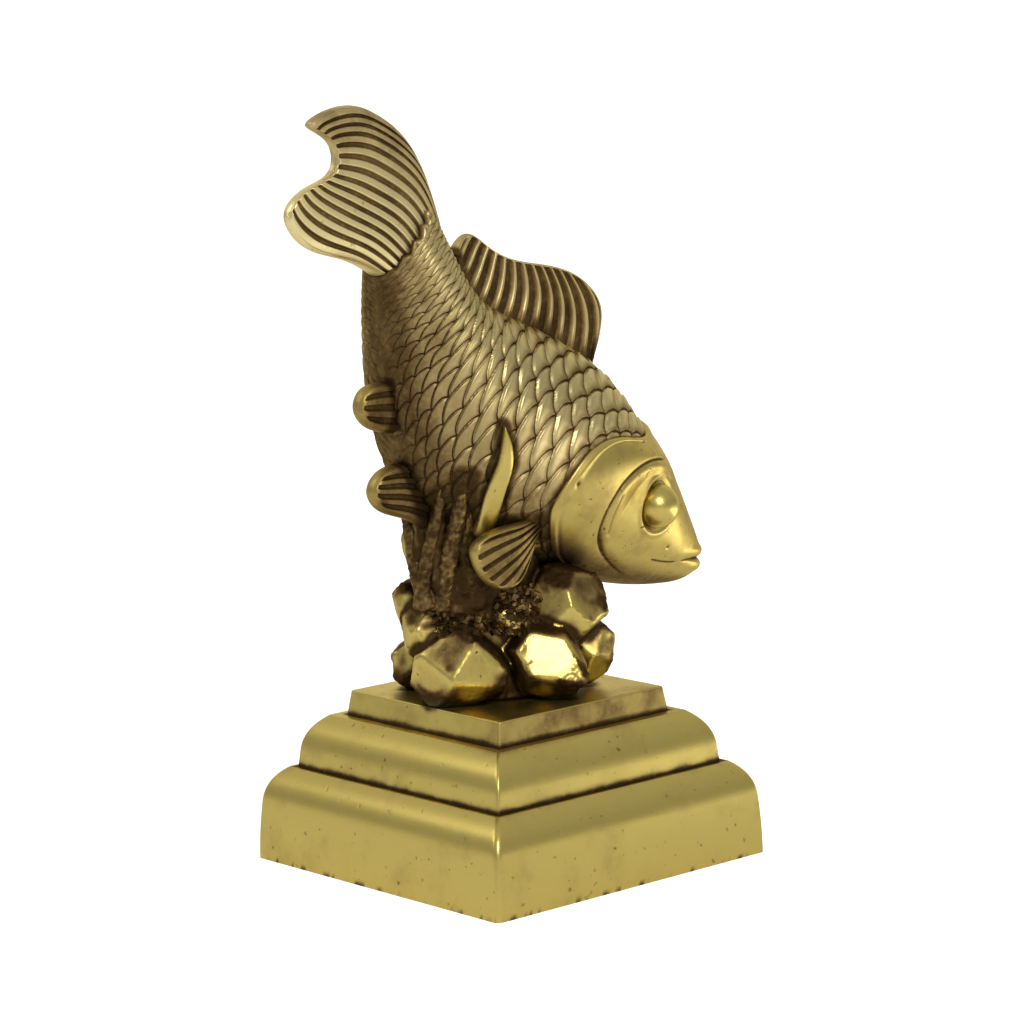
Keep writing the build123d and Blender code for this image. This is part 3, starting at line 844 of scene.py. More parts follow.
def aged_brass_group():
    """Shared finish: mottled, worn brass that turns to brown patina in recesses and to painted shade where
    the points carry it.
    """
    tree = bpy.data.node_groups.new("aged_brass", "ShaderNodeTree")
    source, output = group_sockets(
        tree,
        (("Polished", "Color", None), ("Tawny", "Color", None), ("Aged", "Color", None),
         ("Bloomed", "Color", None), ("Bloom", "Float", 0.0), ("Hollow", "Float", 0.0),
         ("Mottle", "Float", 0.4), ("Gloss", "Float", 0.2), ("Pitting", "Float", 0.5)),
        (("Colour", "Color"), ("Roughness", "Float"), ("Height", "Float")))
    graph = Graph(tree)
    place = graph.add("ShaderNodeTexCoord").outputs["Object"]
    cloud = graph.noise(place, 95.0, 4.0, 0.6)
    grain = graph.noise(place, 700.0, 4.0, 0.6)
    speck = graph.noise(place, 520.0, 2.0, 0.5)
    pit = graph.math("MULTIPLY", graph.ramp(speck, 0.66, 0.74), source.outputs["Pitting"])
    stain = graph.math("MULTIPLY", graph.ramp(cloud, 0.42, 0.72), source.outputs["Mottle"])
    hollow = graph.math("MULTIPLY", source.outputs["Hollow"], graph.ramp(grain, 0.2, 0.6, 0.82, 1.0))
    patina = graph.math("MAXIMUM", hollow, graph.math("MULTIPLY", pit, 0.85))
    patina = graph.math("MINIMUM", graph.math("ADD", patina, graph.math("MULTIPLY", stain, 0.45)), 1.0)
    colour = graph.mix(graph.ramp(patina, 0.0, 0.75), source.outputs["Polished"], source.outputs["Tawny"])
    colour = graph.mix(graph.ramp(patina, 0.35, 1.0), colour, source.outputs["Aged"])
    colour = graph.mix(source.outputs["Bloom"], colour, source.outputs["Bloomed"])
    roughness = graph.math("ADD", source.outputs["Gloss"], graph.math("MULTIPLY", patina, 0.30))
    roughness = graph.math("ADD", roughness, graph.math("MULTIPLY", grain, 0.10))
    height = graph.math("SUBTRACT", graph.math("MULTIPLY", grain, 0.25), pit)
    graph.feed(output.inputs["Colour"], colour)
    graph.feed(output.inputs["Roughness"], roughness)
    graph.feed(output.inputs["Height"], height)
    return tree


def scale_line_shade_group():
    """Mask of the dark lines between scales, and of painted shade that darkens each scale towards its
    hidden edge.
    """
    tree = bpy.data.node_groups.new("scale_lines", "ShaderNodeTree")
    source, output = group_sockets(
        tree,
        (("Upright", "Float", 0.0), ("Slanted", "Float", 0.0), ("Bow", "Float", 0.2)),
        (("Line", "Float"),))
    graph = Graph(tree)
    hidden, free = scale_lattice(graph, *(source.outputs[name] for name in ("Upright", "Slanted", "Bow")))
    line = graph.math(
        "MAXIMUM", graph.ramp(hidden, 0.02, 0.12, 1.0, 0.0), graph.ramp(free, 0.0, 0.06, 1.0, 0.0))
    # Painted shade: each scale darkens towards its hidden edge, where it tucks under its neighbour
    line = graph.math("MAXIMUM", line, graph.ramp(hidden, 0.0, 0.55, 0.55, 0.0))
    graph.feed(output.inputs["Line"], line)
    return tree


def group_node(graph, name, maker, inputs):
    """Place a shared group, building it the first time."""
    tree = bpy.data.node_groups.get(name) or maker()
    node = graph.tree.nodes.new("ShaderNodeGroup")
    node.node_tree = tree
    for key, value in inputs.items():
        graph.feed(node.inputs[key], value)
    return node


def new_material(name):
    """New material, with its graph and its shader."""
    material = bpy.data.materials.new(name)
    material.use_nodes = True
    return material, Graph(material.node_tree), material.node_tree.nodes["Principled BSDF"]


def brass(name, scales=False, brushed=False):
    """Brass finish for one piece, with the patina and the painted shade that its points carry."""
    tone, gloss, mottle, pitting = FINISHES[name]
    finish = bpy.context.scene.carp_finish
    bare = getattr(finish, tone)
    material, graph, shader = new_material(name)
    hollow = graph.attribute("hollow")
    # The scale lines are patina in the grooves, with painted shade inside each scale
    if scales:
        line = group_node(graph, "scale_lines", scale_line_shade_group, {
            "Upright": graph.attribute("upright"), "Slanted": graph.attribute("slanted"),
            "Bow": bpy.context.scene.carp.scale_bow})
        masked = graph.math("MULTIPLY", line.outputs[0], graph.attribute("fade"))
        hollow = graph.math("MAXIMUM", hollow, masked)
    aged = group_node(graph, "aged_brass", aged_brass_group, {
        "Polished": (*bare, 1), "Tawny": (*finish.tawny, 1), "Aged": (*finish.aged, 1),
        "Bloomed": (*finish.verdigris, 1), "Bloom": graph.attribute("bloom"), "Hollow": hollow,
        "Mottle": mottle, "Gloss": gloss, "Pitting": pitting})
    height = aged.outputs["Height"]
    if brushed:
        place = graph.add("ShaderNodeTexCoord").outputs["Object"]
        stretched = graph.add("ShaderNodeMapping", {"Vector": place, "Scale": (40.0, 40.0, 4200.0)})
        strokes = graph.noise(stretched.outputs[0], 1.0, 2.0, 0.5)
        height = graph.math("ADD", height, graph.math("MULTIPLY", strokes, 0.25))
    bent = graph.add("ShaderNodeBump", {"Height": height, "Strength": 0.6, "Distance": GRAIN_DEPTH})
    graph.feed(shader.inputs["Base Color"], aged.outputs["Colour"])
    graph.feed(shader.inputs["Roughness"], aged.outputs["Roughness"])
    graph.feed(shader.inputs["Normal"], bent.outputs[0])
    shader.inputs["Metallic"].default_value = 1.0
    shader.inputs["Specular Tint"].default_value = GLANCING_TINT
    return material


def steel_material():
    """Zinc-dulled steel of the fixing under the plinth."""
    finish = bpy.context.scene.carp_finish
    material, graph, shader = new_material("dull_steel")
    place = graph.add("ShaderNodeTexCoord").outputs["Object"]
    spangle = graph.noise(place, 420.0, 4.0, 0.6)
    grime = graph.ramp(graph.noise(place, 160.0, 3.0, 0.6), 0.5, 0.75)
    colour = graph.mix(grime, (*finish.steel, 1), (*finish.aged, 1))
    graph.feed(shader.inputs["Base Color"], colour)
    graph.feed(shader.inputs["Roughness"], graph.ramp(spangle, 0.3, 0.7, 0.28, 0.5))
    bent = graph.add("ShaderNodeBump", {"Height": spangle, "Strength": 0.4, "Distance": 0.00005})
    graph.feed(shader.inputs["Normal"], bent.outputs[0])
    shader.inputs["Metallic"].default_value = 1.0
    return material


# Pieces


def flank_mesh(name, hull, carp, side):
    """Scaled flank from under the gill cover to the tail, with its place in the pattern of scales."""
    columns, rows = 241, 411
    around = np.linspace(0, math.pi, columns)
    start = hull.gill_line(carp, around) - GILL_OVERLAP
    share = np.linspace(0, 1, rows)
    angle = np.broadcast_to(around, (rows, columns))
    loop = run_length(hull.point(np.ones_like(around), around, 0, side))
    steps = np.abs((loop / loop[-1] * carp.scale_columns) % 1 - 0.5) * 2
    end = 1.004 + 0.010 * steps * np.sin(around)
    along = start[None, :] + (end - start)[None, :] * share[:, None]
    points = hull.point(along, angle, 0, side)

    run = np.linspace(0, 1, 600)
    middle, _, half_height, half_width = hull.section(run)
    girth = half_height + half_width
    step = np.linalg.norm(np.diff(middle, axis=0), axis=1) / (girth[1:] + girth[:-1])
    pace = np.concatenate(([0.0], np.cumsum(step)))
    gill_pace = np.interp(GILL_STATION_SHARE, run, pace)
    row = carp.scale_rows * (np.interp(along, run, pace) - gill_pace) / (pace[-1] - gill_pace)
    loop = np.linalg.norm(np.diff(points, axis=1), axis=2)
    loop = np.concatenate([np.zeros((len(loop), 1)), np.cumsum(loop, axis=1)], axis=1)
    column = loop / loop[:, -1:] * carp.scale_columns

    spine = hull.length()
    gill_gap = (along - start[None, :] - GILL_OVERLAP) * spine
    tail_gap = (end[None, :] - along) * spine
    rim = 0.0012
    tuck = carp.gill_relief * (1 - quarter_round(tail_gap / rim))
    outward = hull.outward(along, angle, side)
    points = points - outward * tuck[..., None]
    points[:, [0, -1], 1] = 0
    # Patina and painted shade just under the gill cover's edge and at the tail's edge, and painted shade
    # over the lower flank, darker towards the belly
    shade = 0.75 * bump(gill_gap, 0.0016) + 0.5 * bump(tail_gap, 0.0006)
    shade = shade + 0.25 * smooth(angle, 2.2, 2.8) + 0.46 * smooth(angle, 1.35, 2.15)
    families = {
        "upright": (UPRIGHT_LINE_SHARES, UPRIGHT_TAIL_SHARES),
        "slanted": (SLANTED_LINE_SHARES, SLANTED_TAIL_SHARES),
    }
    values = {
        key: line_number(*shares, row, column, carp.scale_columns) for key, shares in families.items()}
    rearward = 0.55 + 0.45 * smooth(carp.scale_rows - row, 0, 14)
    backward = 0.55 + 0.45 * smooth(np.sin(angle), 0.02, 0.35)
    values["fade"] = smooth(tail_gap, 0.0, rim) * rearward * backward
    values["hollow"] = np.clip(shade, 0, 1)
    values["outward"] = outward
    return grid_mesh(name, points, values)


def head_mesh(name, hull, carp, side):
    """Smooth head with gill cover, cheek line, eye ring and mouth."""
    columns, rows, lip_count = 221, 231, 7
    around = np.linspace(0, math.pi, columns)
    edge = hull.gill_line(carp, around)
    share = np.linspace(0, 1, rows) ** 1.25
    along = edge[None, :] * share[:, None]
    curl = np.linspace(0, 1, lip_count + 1)[1:, None] * math.pi * 0.75
    along = np.concatenate([along, edge[None, :] + 0.0045 * np.sin(curl)])
    angle = np.broadcast_to(around, along.shape)
    outward = hull.outward(np.maximum(along, 2e-4), angle, side)
    outward[:, [0, -1], 1] = 0

    snout = 0.030
    closing = quarter_round(along / snout)
    points = hull.point(along, angle, 0, side)
    centre, _, _, _ = hull.section(along)
    centre = np.stack([centre[..., 0], np.zeros_like(along), centre[..., 1]], axis=-1)
    points = centre + (points - centre) * closing[..., None]

    flat = points[..., [0, 2]]
    gap = (edge[None, :] - along) * hull.length()
    relief = carp.gill_relief * (0.4 + 0.6 * (1 - smooth(gap, 0.004, 0.030)))
    dome = np.sin(math.pi * np.clip(gap / 0.019, 0, 1))
    relief += 0.0017 * np.sin(angle) ** 4 * dome
    relief[-lip_count:] = carp.gill_relief * (1.6 * np.cos(curl) - 0.6)
    relief *= 0.3 + 0.7 * smooth(np.sin(angle), 0.05, 0.55)
    relief += 0.00030 * bump(gap - 0.0010, 0.0006) - 0.00010 * bump(gap - 0.0024, 0.0006)
    # A patina line inside the gill edge, and painted shade that darkens the underside of the head
    hollow = 0.2 * bump(gap - 0.0025, 0.0006) + 0.72 * smooth(angle, 1.95, 2.65)

    last = 159
    cheek = natural_curve(fish_places(CHEEK_LINE_SHARES, carp))(np.linspace(0, 1, last + 1))
    away, run = distance_to_line(flat, cheek)
    near = np.clip((run * last).astype(int), 1, last - 1)
    tangent = cheek[near + 1] - cheek[near - 1]
    off = flat - cheek[near]
    front = np.sign(tangent[..., 0] * off[..., 1] - tangent[..., 1] * off[..., 0])
    ends = smooth(run, 0.0, 0.10) * (1 - smooth(run, 0.90, 1.0))
    groove = bump(away, 0.00042)
    relief += ends * (0.0009 * (front > 0) * np.exp(-away / 0.006) * smooth(away, -0.0003, 0.0022))
    relief -= ends * 0.0005 * groove
    hollow = np.maximum(hollow, ends * groove)

    crease = natural_curve(fish_places(CHEEK_CREASE_SHARES, carp))(np.linspace(0, 1, 60))
    away, _ = distance_to_line(flat, crease)
    relief -= 0.0003 * bump(away, 0.0005)
    hollow = np.maximum(hollow, 0.6 * bump(away, 0.0004))

    eye = fish_places([EYE_SHARES], carp)[0]
    ring = np.linalg.norm(flat - eye - (0.0006, 0.0), axis=-1)
    flankward = smooth(np.abs(points[..., 1]), 0.008, 0.012)
    rearward = smooth(eye[0] - flat[..., 0], -0.006, 0.004)
    crest, groove = 0.0074, 0.0062
    relief += flankward * (0.0002 * bump(ring - crest, 0.0006) - 0.0004 * bump(ring - groove, 0.0005))
    hollow = np.maximum(hollow, flankward * (0.3 + 0.5 * rearward) * bump(ring - groove, 0.00042))
    stains = rough(points, 0.006, SEEDS["stains"])
    hollow = np.maximum(hollow, 0.20 + 0.12 * smooth(stains, 0.0, 0.6))

    mouth = natural_curve(fish_places(MOUTH_SHARES, carp))(np.linspace(0, 1, 80))
    away, run = distance_to_line(flat, mouth)
    open_share = 0.2 + 0.8 * smooth(run, 0.45, 0.8)
    cut = smooth(run, 0.0, 0.06) * (1 - 0.8 * bump(run - 0.42, 0.05))
    relief += 0.0006 * bump(away - 0.0021, 0.0012) * smooth(run, 0.3, 0.9)
    gape = bump(away, 0.00025 + 0.00035 * open_share)
    relief -= 0.0009 * open_share * gape * cut
    hollow = np.maximum(hollow, gape * cut)
    for spot, size in ((NOSTRIL_SHARES, 0.0004), (GILL_PIT_SHARES, 0.0007)):
        away = np.linalg.norm(flat - fish_places([spot], carp)[0], axis=-1)
        relief -= 0.0004 * bump(away, size)
        hollow = np.maximum(hollow, 0.9 * bump(away, size))

    points = points + outward * (relief * np.clip(closing, 0.35, 1))[..., None]
    points[..., 0] = np.minimum(points[..., 0], CAD_BOX[1].x)
    points[:, [0, -1], 1] = 0
    return sealed(grid_mesh(name, points, {"hollow": np.clip(hollow, 0, 1)}))


def eye_mesh(name, carp, side):
    """Ball of the eye, turned about the axis across the head, with a flattened seat."""
    eye = fish_places([EYE_SHARES], carp)[0]
    lean = np.linspace(0, math.pi, 40)[:, None]
    turn = np.linspace(0, 2 * math.pi, 72, endpoint=False)[None, :]
    radius = carp.eye_radius
    reach = np.where(lean < math.pi / 2, np.cos(lean), 0.5 * np.cos(lean)) * radius
    points = np.stack([
        eye[0] + radius * np.sin(lean) * np.cos(turn),
        side * (carp.width * EYE_DEPTH_SHARE + reach) + 0 * turn,
        eye[1] + radius * np.sin(lean) * np.sin(turn),
    ], axis=-1)
    hollow = 0.5 * smooth(lean, 1.3, 1.5) + 0 * turn
    return sealed(grid_mesh(name, points, {"hollow": hollow}, closed=True))


def seam_normals(mesh):
    """Keep the halves' shading level where they meet on the middle plane."""
    places = vertex_array(mesh)
    normals = vertex_array(mesh, "normal")
    seam = np.abs(places[:, 1]) < 1e-6
    normals[seam, 1] = 0
    normals /= np.maximum(np.linalg.norm(normals, axis=1, keepdims=True), 1e-9)
    mesh.normals_split_custom_set_from_vertices(normals.tolist())


def patch(front, edge, rear, root, across, along):
    """Surface filled between four boundary curves, root to edge along and front to rear across."""
    s = across[None, :, None]
    t = along[:, None, None]
    corners = root[0], root[-1], edge[0], edge[-1]
    ruled = (1 - t) * root[None] + t * edge[None] + (1 - s) * front[:, None] + s * rear[:, None]
    corner = (1 - s) * (1 - t) * corners[0] + s * (1 - t) * corners[1]
    return ruled - corner - (1 - s) * t * corners[2] - s * t * corners[3]


def fin_mesh(
        name, outline, edge_points, root, root_half, edge_half, rim, counts, oval=0.0, grime=0.2, painted_front_shade=0.0):
    """Closed fin in its own plane: x, thickness and z, with rounded rims and its rays' places."""
    columns, rows = counts
    curve = natural_curve(outline)
    low, high = (curve.knots[i] for i in edge_points)
    across, along = crowded(columns), crowded(rows)

    def run(boundary, start, end, places):
        even = even_run(boundary, start, end, 300)
        grid = np.linspace(0, 1, 300)
        return np.stack([np.interp(places, grid, even[:, k]) for k in (0, 1)], axis=-1)

    sheet = patch(
        run(curve, 0, low, along), run(curve, low, high, across), run(curve, 1, high, along),
        run(natural_curve(root), 0, 1, across), across, along)
    inner, _ = distance_to_line(sheet, even_run(curve, 0, 1, 700))
    inner[-1] = 0
    inner[:, 0] = inner[:, -1] = 0
    round_off = quarter_round(inner / rim)
    swell = (1 - along[:, None]) ** 1.6
    half = (edge_half + (root_half - edge_half) * swell * (1 - oval)) * round_off
    s = np.broadcast_to(across[None, :], half.shape)
    half = half + oval * swell * (root_half * np.sqrt(np.clip(1 - (2 * s - 1) ** 2, 0, 1)) - half)
    half[0] = 0
    fade = smooth(inner, 0.35 * rim, 1.1 * rim)
    sides = []
    for sign in (1, -1):
        points = np.stack([sheet[..., 0], sign * half, sheet[..., 1]], axis=-1)
        outward = np.zeros_like(points)
        outward[..., 1] = sign
        sides.append((points, outward))
    points, outward = (np.concatenate([a, b[:, ::-1]], axis=1) for a, b in zip(*sides))
    # Patina all over, lighter at the rims, and painted shade towards the root, where the fin meets the body
    base = grime * (0.7 + 0.3 * fade) + 0.6 * (1 - smooth(along, 0.12, 0.4))[:, None] * (1 - oval)
    # Painted shade over the front of the fin, on the tail its upper lobe
    base = base + painted_front_shade * (1 - smooth(s, 0.3, 0.65))
    values = {"across": s, "fade": fade, "hollow": np.clip(base, 0, 1) + 0 * s}
    values = {key: np.concatenate([v, v[:, ::-1]], axis=1) for key, v in values.items()}
    values["outward"] = outward
    return grid_mesh(name, points, values, closed=True)


def pectoral_mesh(carp, side):
    """Pectoral fin on one flank, with its root tucked in."""
    outline = np.array(PECTORAL_SHARES) * (carp.pectoral_length, carp.pectoral_height)
    root = [outline[0], (outline[0] + outline[-1]) / 2 + (-0.001, 0), outline[-1]]
    mesh = fin_mesh(
        "pectoral", outline, PECTORAL_EDGE, np.array(root), 0.0021, 0.0021, 0.0013, (180, 80), grime=0.5)
    seat = fish_places([PECTORAL_ROOT_SHARES], carp)[0]
    pressed = carp.left_press if side > 0 else 0.0
    turn = Matrix.Rotation(math.pi - carp.pectoral_splay - pressed, 4, "Z")
    place = Matrix.Translation((seat[0], -carp.width * PECTORAL_DEPTH_SHARE, seat[1])) @ turn
    if side > 0:
        place = Matrix.Diagonal((1, -1, 1, 1)) @ place
    places = vertex_array(mesh)
    reach = places[:, 0] / carp.pectoral_length
    places[:, 1] -= carp.pectoral_length * PECTORAL_TUCK_SHARE * (1 - smooth(reach, 0.1, 0.6))
    mesh.vertices.foreach_set("co", places.astype(np.float32).ravel())
    outward = np.zeros(places.size, np.float32)
    mesh.attributes["outward"].data.foreach_get("vector", outward)
    set_values(mesh, "outward", outward.reshape(-1, 3) @ np.array(place.to_3x3()).T)
    mesh.transform(place)
    return mesh


def blade_mesh(name, hull, carp, side):
    """S-shaped blade of seaweed that lies along the flank."""
    rows, columns = 90, 36
    share = np.linspace(0, 1, rows) ** 1.2
    front = natural_curve(fish_places(BLADE_FRONT_SHARES, carp))(share)
    rear = natural_curve(fish_places(BLADE_REAR_SHARES, carp))(share)
    turn = np.linspace(0, 2 * math.pi, columns, endpoint=False)
    sweep = (1 - np.cos(turn)) / 2
    flat = front[:, None] + (rear - front)[:, None] * sweep[None, :, None]
    along, angle, _ = hull.find(flat.reshape(-1, 2))
    lift = np.sin(turn)
    lift = np.where(lift > 0, lift ** 0.55, 0.35 * lift)[None, :] * np.ones((rows, 1))
    tip = quarter_round(share / 0.25)[:, None]
    grow = carp.blade_thickness * (0.12 + 0.88 * lift * (0.35 + 0.65 * tip))
    points = hull.point(along, angle, grow.ravel(), side).reshape(rows, columns, 3)
    # Painted shade at the blade's edges and on its side against the flank, and darker towards its foot
    hollow = np.clip(0.9 - lift * 1.4, 0, 1) + smooth(share, 0.85, 1.0)[:, None]
    return sealed(grid_mesh(name, points, {"hollow": np.clip(hollow, 0, 1)}, closed=True), 4e-5)


def tube_mesh(name, route, radii, seed, roughness, around=40):
    """Round stem along a route, rough all over and closed at both ends."""
    share = np.linspace(0, 1, 120)
    path = natural_curve(route)(share)
    tangent = np.gradient(path, axis=0)
    tangent /= np.linalg.norm(tangent, axis=1, keepdims=True)
    first = np.cross(tangent, (1.0, 0.0, 0.0))
    first /= np.linalg.norm(first, axis=1, keepdims=True)
    second = np.cross(tangent, first)
    ends = quarter_round(np.minimum(share, 1 - share) / 0.03)
    radius = np.interp(share, np.linspace(0, 1, len(radii)), radii) * ends
    turn = np.linspace(0, 2 * math.pi, around, endpoint=False)
    ring = first[:, None] * np.cos(turn)[None, :, None] + second[:, None] * np.sin(turn)[None, :, None]
    points = path[:, None] + ring * radius[:, None, None]
    dents = rough(points, 0.0011, seed)
    points = points + ring * (roughness * dents * ends[:, None])[..., None]
    hollow = np.clip(0.74 - dents * 0.25 - 0.2 * smooth(ring[..., 0], -0.5, 0.3), 0, 1)
    return sealed(grid_mesh(name, points, {"hollow": hollow}, closed=True), 4e-6)


def stem_route(carp, side, x_shift=0.0, y_shift=0.0):
    """Route of a stem up from the rock to the flank, moved by shares of the carp's length and width."""
    return np.array([
        (carp.length * (x + x_shift), -side * carp.width * (y + y_shift), PLINTH_TOP + carp.height * z)
        for x, y, z in STEM_ROUTE_SHARES
    ])


def boulder_frame(base, x, y, z, long_share, wide_share, tall_share, turn):
    """Place and three sizes of a boulder."""
    size = base.boulder_size
    sizes = Vector((long_share, wide_share, tall_share)) * size * BOULDER_SWELL_SHARE
    place = Matrix.Translation((base.rock_length * x, base.rock_width * y, PLINTH_TOP + size * z))
    return place @ Matrix.Rotation(math.radians(turn), 4, "Z"), sizes


def boulder_mesh(base, number, shares):
    """One nugget: a block with flat facets planed off all round, no two alike."""
    place, sizes = boulder_frame(base, *shares)
    chance = np.random.default_rng(SEEDS["boulders"] + number)
    cuts = []
    for facet in range(FACETS):
        rise = 1 - 2 * (facet + 0.5) / FACETS
        spin = facet * math.pi * (3 - math.sqrt(5)) + number
        level = math.sqrt(1 - rise * rise)
        normal = Vector((level * math.cos(spin), level * math.sin(spin), rise))
        cuts.append((normal + Vector(chance.uniform(-0.2, 0.2, 3)), chance.uniform(0.86, 1.0)))
    if number in SHOWN_FACETS:
        shown = place.to_3x3().inverted() @ Vector(SHOWN_FACETS[number][:3])
        cleared = math.radians(38)
        cuts = [(normal, share) for normal, share in cuts if normal.angle(shown) > cleared]
        cuts.append((shown, SHOWN_FACETS[number][3]))
    work = bmesh.new()
    bmesh.ops.create_cube(work, size=1.4, matrix=Matrix.Diagonal((*sizes, 1)))
    for normal, share in cuts:
        normal = normal.normalized()
        support = Vector(n * s / 2 for n, s in zip(normal, sizes)).length
        rim = planed(work, normal * support * share, normal)
        if rim:
            bmesh.ops.contextual_create(work, geom=rim)
    work.transform(place)
    bmesh.ops.recalc_face_normals(work, faces=work.faces)
    mesh = bpy.data.meshes.new("boulder")
    work.to_mesh(mesh)
    work.free()
    return mesh


def outside_boulders(base, places):
    """How far points lie from the two nearest boulders' middles, with 1 at a boulder's surface."""
    away = []
    for shares in BOULDER_SHARES:
        place, sizes = boulder_frame(base, *shares)
        inward = np.array(place.inverted())
        local = places @ inward[:3, :3].T + inward[:3, 3]
        away.append(np.linalg.norm(local / (np.array(sizes) / 2), axis=1))
    return np.sort(away, axis=0)[:2]


def core_mesh(base, carp):
    """Ridged column in the middle of the rock that carries the belly."""
    rows, columns = 60, 120
    share = np.linspace(0, 1, rows)
    table = np.array([
        (carp.length * middle, PLINTH_TOP + carp.height * height, base.rock_length * long_share,
         base.rock_width * wide_share)
        for height, middle, long_share, wide_share in CORE_SHARES])
    section = natural_curve(table)(share)
    turn = np.linspace(0, 2 * math.pi, columns, endpoint=False)
    ribs = 1 + 0.06 * np.sin(11 * turn)[None, :] * smooth(share, 0.3, 0.6)[:, None]
    points = np.stack([
        section[:, :1] + section[:, 2:3] * np.cos(turn) * ribs,
        section[:, 3:4] * np.sin(turn) * ribs,
        section[:, 1:2] + 0 * turn,
    ], axis=-1)
    mesh = grid_mesh("core", points, closed=True)
    work = bmesh.new()
    work.from_mesh(mesh)
    bmesh.ops.holes_fill(work, edges=[edge for edge in work.edges if edge.is_boundary])
    bmesh.ops.recalc_face_normals(work, faces=work.faces)
    work.to_mesh(mesh)
    work.free()
    return mesh


def cast_rock(base, carp, finish):
    """Core and boulders as one casting with softened joins, cut level on the plinth."""
    meshes = [core_mesh(base, carp)]
    meshes += [boulder_mesh(base, number, shares) for number, shares in enumerate(BOULDER_SHARES)]
    rock = placed("rock_cast", joined("rock", meshes), finish)
    remesh = rock.modifiers.new("cast", "REMESH")
    remesh.mode = "VOXEL"
    remesh.voxel_size = base.cast_voxel
    soften = rock.modifiers.new("soften", "SMOOTH")
    soften.iterations = 16
    baked(rock)
    work = bmesh.new()
    work.from_mesh(rock.data)
    bmesh.ops.holes_fill(work, edges=planed(work, (0, 0, PLINTH_TOP), (0, 0, -1)))
    bmesh.ops.triangulate(work, faces=[face for face in work.faces if len(face.verts) > 4])
    work.to_mesh(rock.data)
    work.free()
    rock.data.shade_smooth()
    rock.data.materials.clear()
    rock.data.materials.append(finish)
    return rock


def weather_rock(mesh, base):
    """Give the rock its patina and painted shade, its bloom, its patches for crystals and its grit."""
    places = vertex_array(mesh)
    normals = vertex_array(mesh, "normal")
    wide = curvature(mesh, 24)
    patchy = rough(places, 0.008, SEEDS["patches"])
    above = places[:, 2] - PLINTH_TOP
    granular = np.zeros(len(places))
    for x, y, z, reach in CRYSTAL_SHARES:
        height = PLINTH_TOP + base.boulder_size * z
        spot = np.array((base.rock_length * x, base.rock_width * y, height))
        away = np.linalg.norm(places - spot, axis=1) / (base.boulder_size * reach)
        granular = np.maximum(granular, 1 - smooth(away + 0.25 * patchy, 0.7, 1.0))
    set_values(mesh, "granular", granular)
    rise = above / base.boulder_size
    nearest, second = outside_boulders(base, places)
    # Below, the web between boulders, the crevices where two meet and the low parts at the foot get patina
    # and painted shade
    between = smooth(nearest, 1.01, 1.12)
    crevice = 1 - smooth(second + 0.06 * patchy, 1.0, 1.24)
    upward = smooth(normals[:, 2] + 0.12 * patchy, 0.1, 0.95)
    hollow = 0.24 + wide * 11 + 0.35 * smooth(patchy, 0.1, 0.6) + 0.3 * smooth(rise, 1.1, 1.7)
    hollow = hollow + 0.7 * upward + (0.6 + 0.4 * (1 - smooth(rise, 0.2, 0.7))) * between
    hollow = hollow + 0.75 * crevice
    hollow = hollow + 0.8 * (1 - smooth(rise, 0.15, 0.45)) * smooth(nearest, 0.92, 1.0)
    hollow = np.clip(np.maximum(hollow, 0.9 * bump(above, 0.0012)), 0, 1)
    shown = np.array(Vector(SHOWN_FACETS[RUBBED_BOULDER][:3]).normalized())
    middle = np.array(boulder_frame(base, *BOULDER_SHARES[RUBBED_BOULDER])[0].translation)
    away = np.linalg.norm(places - middle, axis=1) / base.boulder_size
    rubbed_and_lit = smooth(normals @ shown, 0.955, 0.985) * (1 - smooth(away, 0.6, 0.8))
    hollow = hollow * (1 - 0.9 * rubbed_and_lit)
    set_values(mesh, "hollow", hollow)
    set_values(mesh, "bloom", 0.8 * bump(above, 0.0011) * smooth(patchy, -0.2, 0.2))
    grit = rough(places, 0.0011, SEEDS["grit"]) * 0.00012 * (0.3 + hollow - 0.25 * rubbed_and_lit)
    grit = grit + rough(places, 0.0035, SEEDS["lumps"]) * 0.0007 * between
    mesh.vertices.foreach_set("co", (places + normals * grit[:, None]).astype(np.float32).ravel())
    mesh.update()


def plinth_outline():
    """Corners of the plinth's outer profile and points along it, as half width and height."""
    x, z = CAD_BOX[1].y, 0.0
    corners = [(x, z)]
    for inset, rise, _ in PLINTH_PROFILE:
        x -= inset * MM
        z += rise * MM
        corners.append((x, z))
    path = []
    for (start, end), (_, _, swell) in zip(zip(corners, corners[1:]), PLINTH_PROFILE):
        start, end = Vector(start), Vector(end)
        chord = end - start
        out = Vector((chord.y, -chord.x)) * swell * 4
        for share in np.linspace(0, 1, 16 if swell > 0.1 else 10):
            path.append(start + chord * share + out * share * (1 - share))
    return corners, path


def rounded_square(half, radius, count):
    """Points round a square with rounded corners, the same count on each side and corner."""
    side = np.linspace(-1, 1, count)[:-1]
    arc = np.linspace(0, math.pi / 2, 13)[:-1]
    flat = half - radius
    quarter = [(half, flat * s) for s in side]
    quarter += [(flat + radius * math.cos(a), flat + radius * math.sin(a)) for a in arc]
    points = np.array(quarter)
    turns = []
    for quarter_turn in range(4):
        c, s = math.cos(quarter_turn * math.pi / 2), math.sin(quarter_turn * math.pi / 2)
        turns.append(points @ np.array([[c, s], [-s, c]]))
    return np.concatenate(turns)


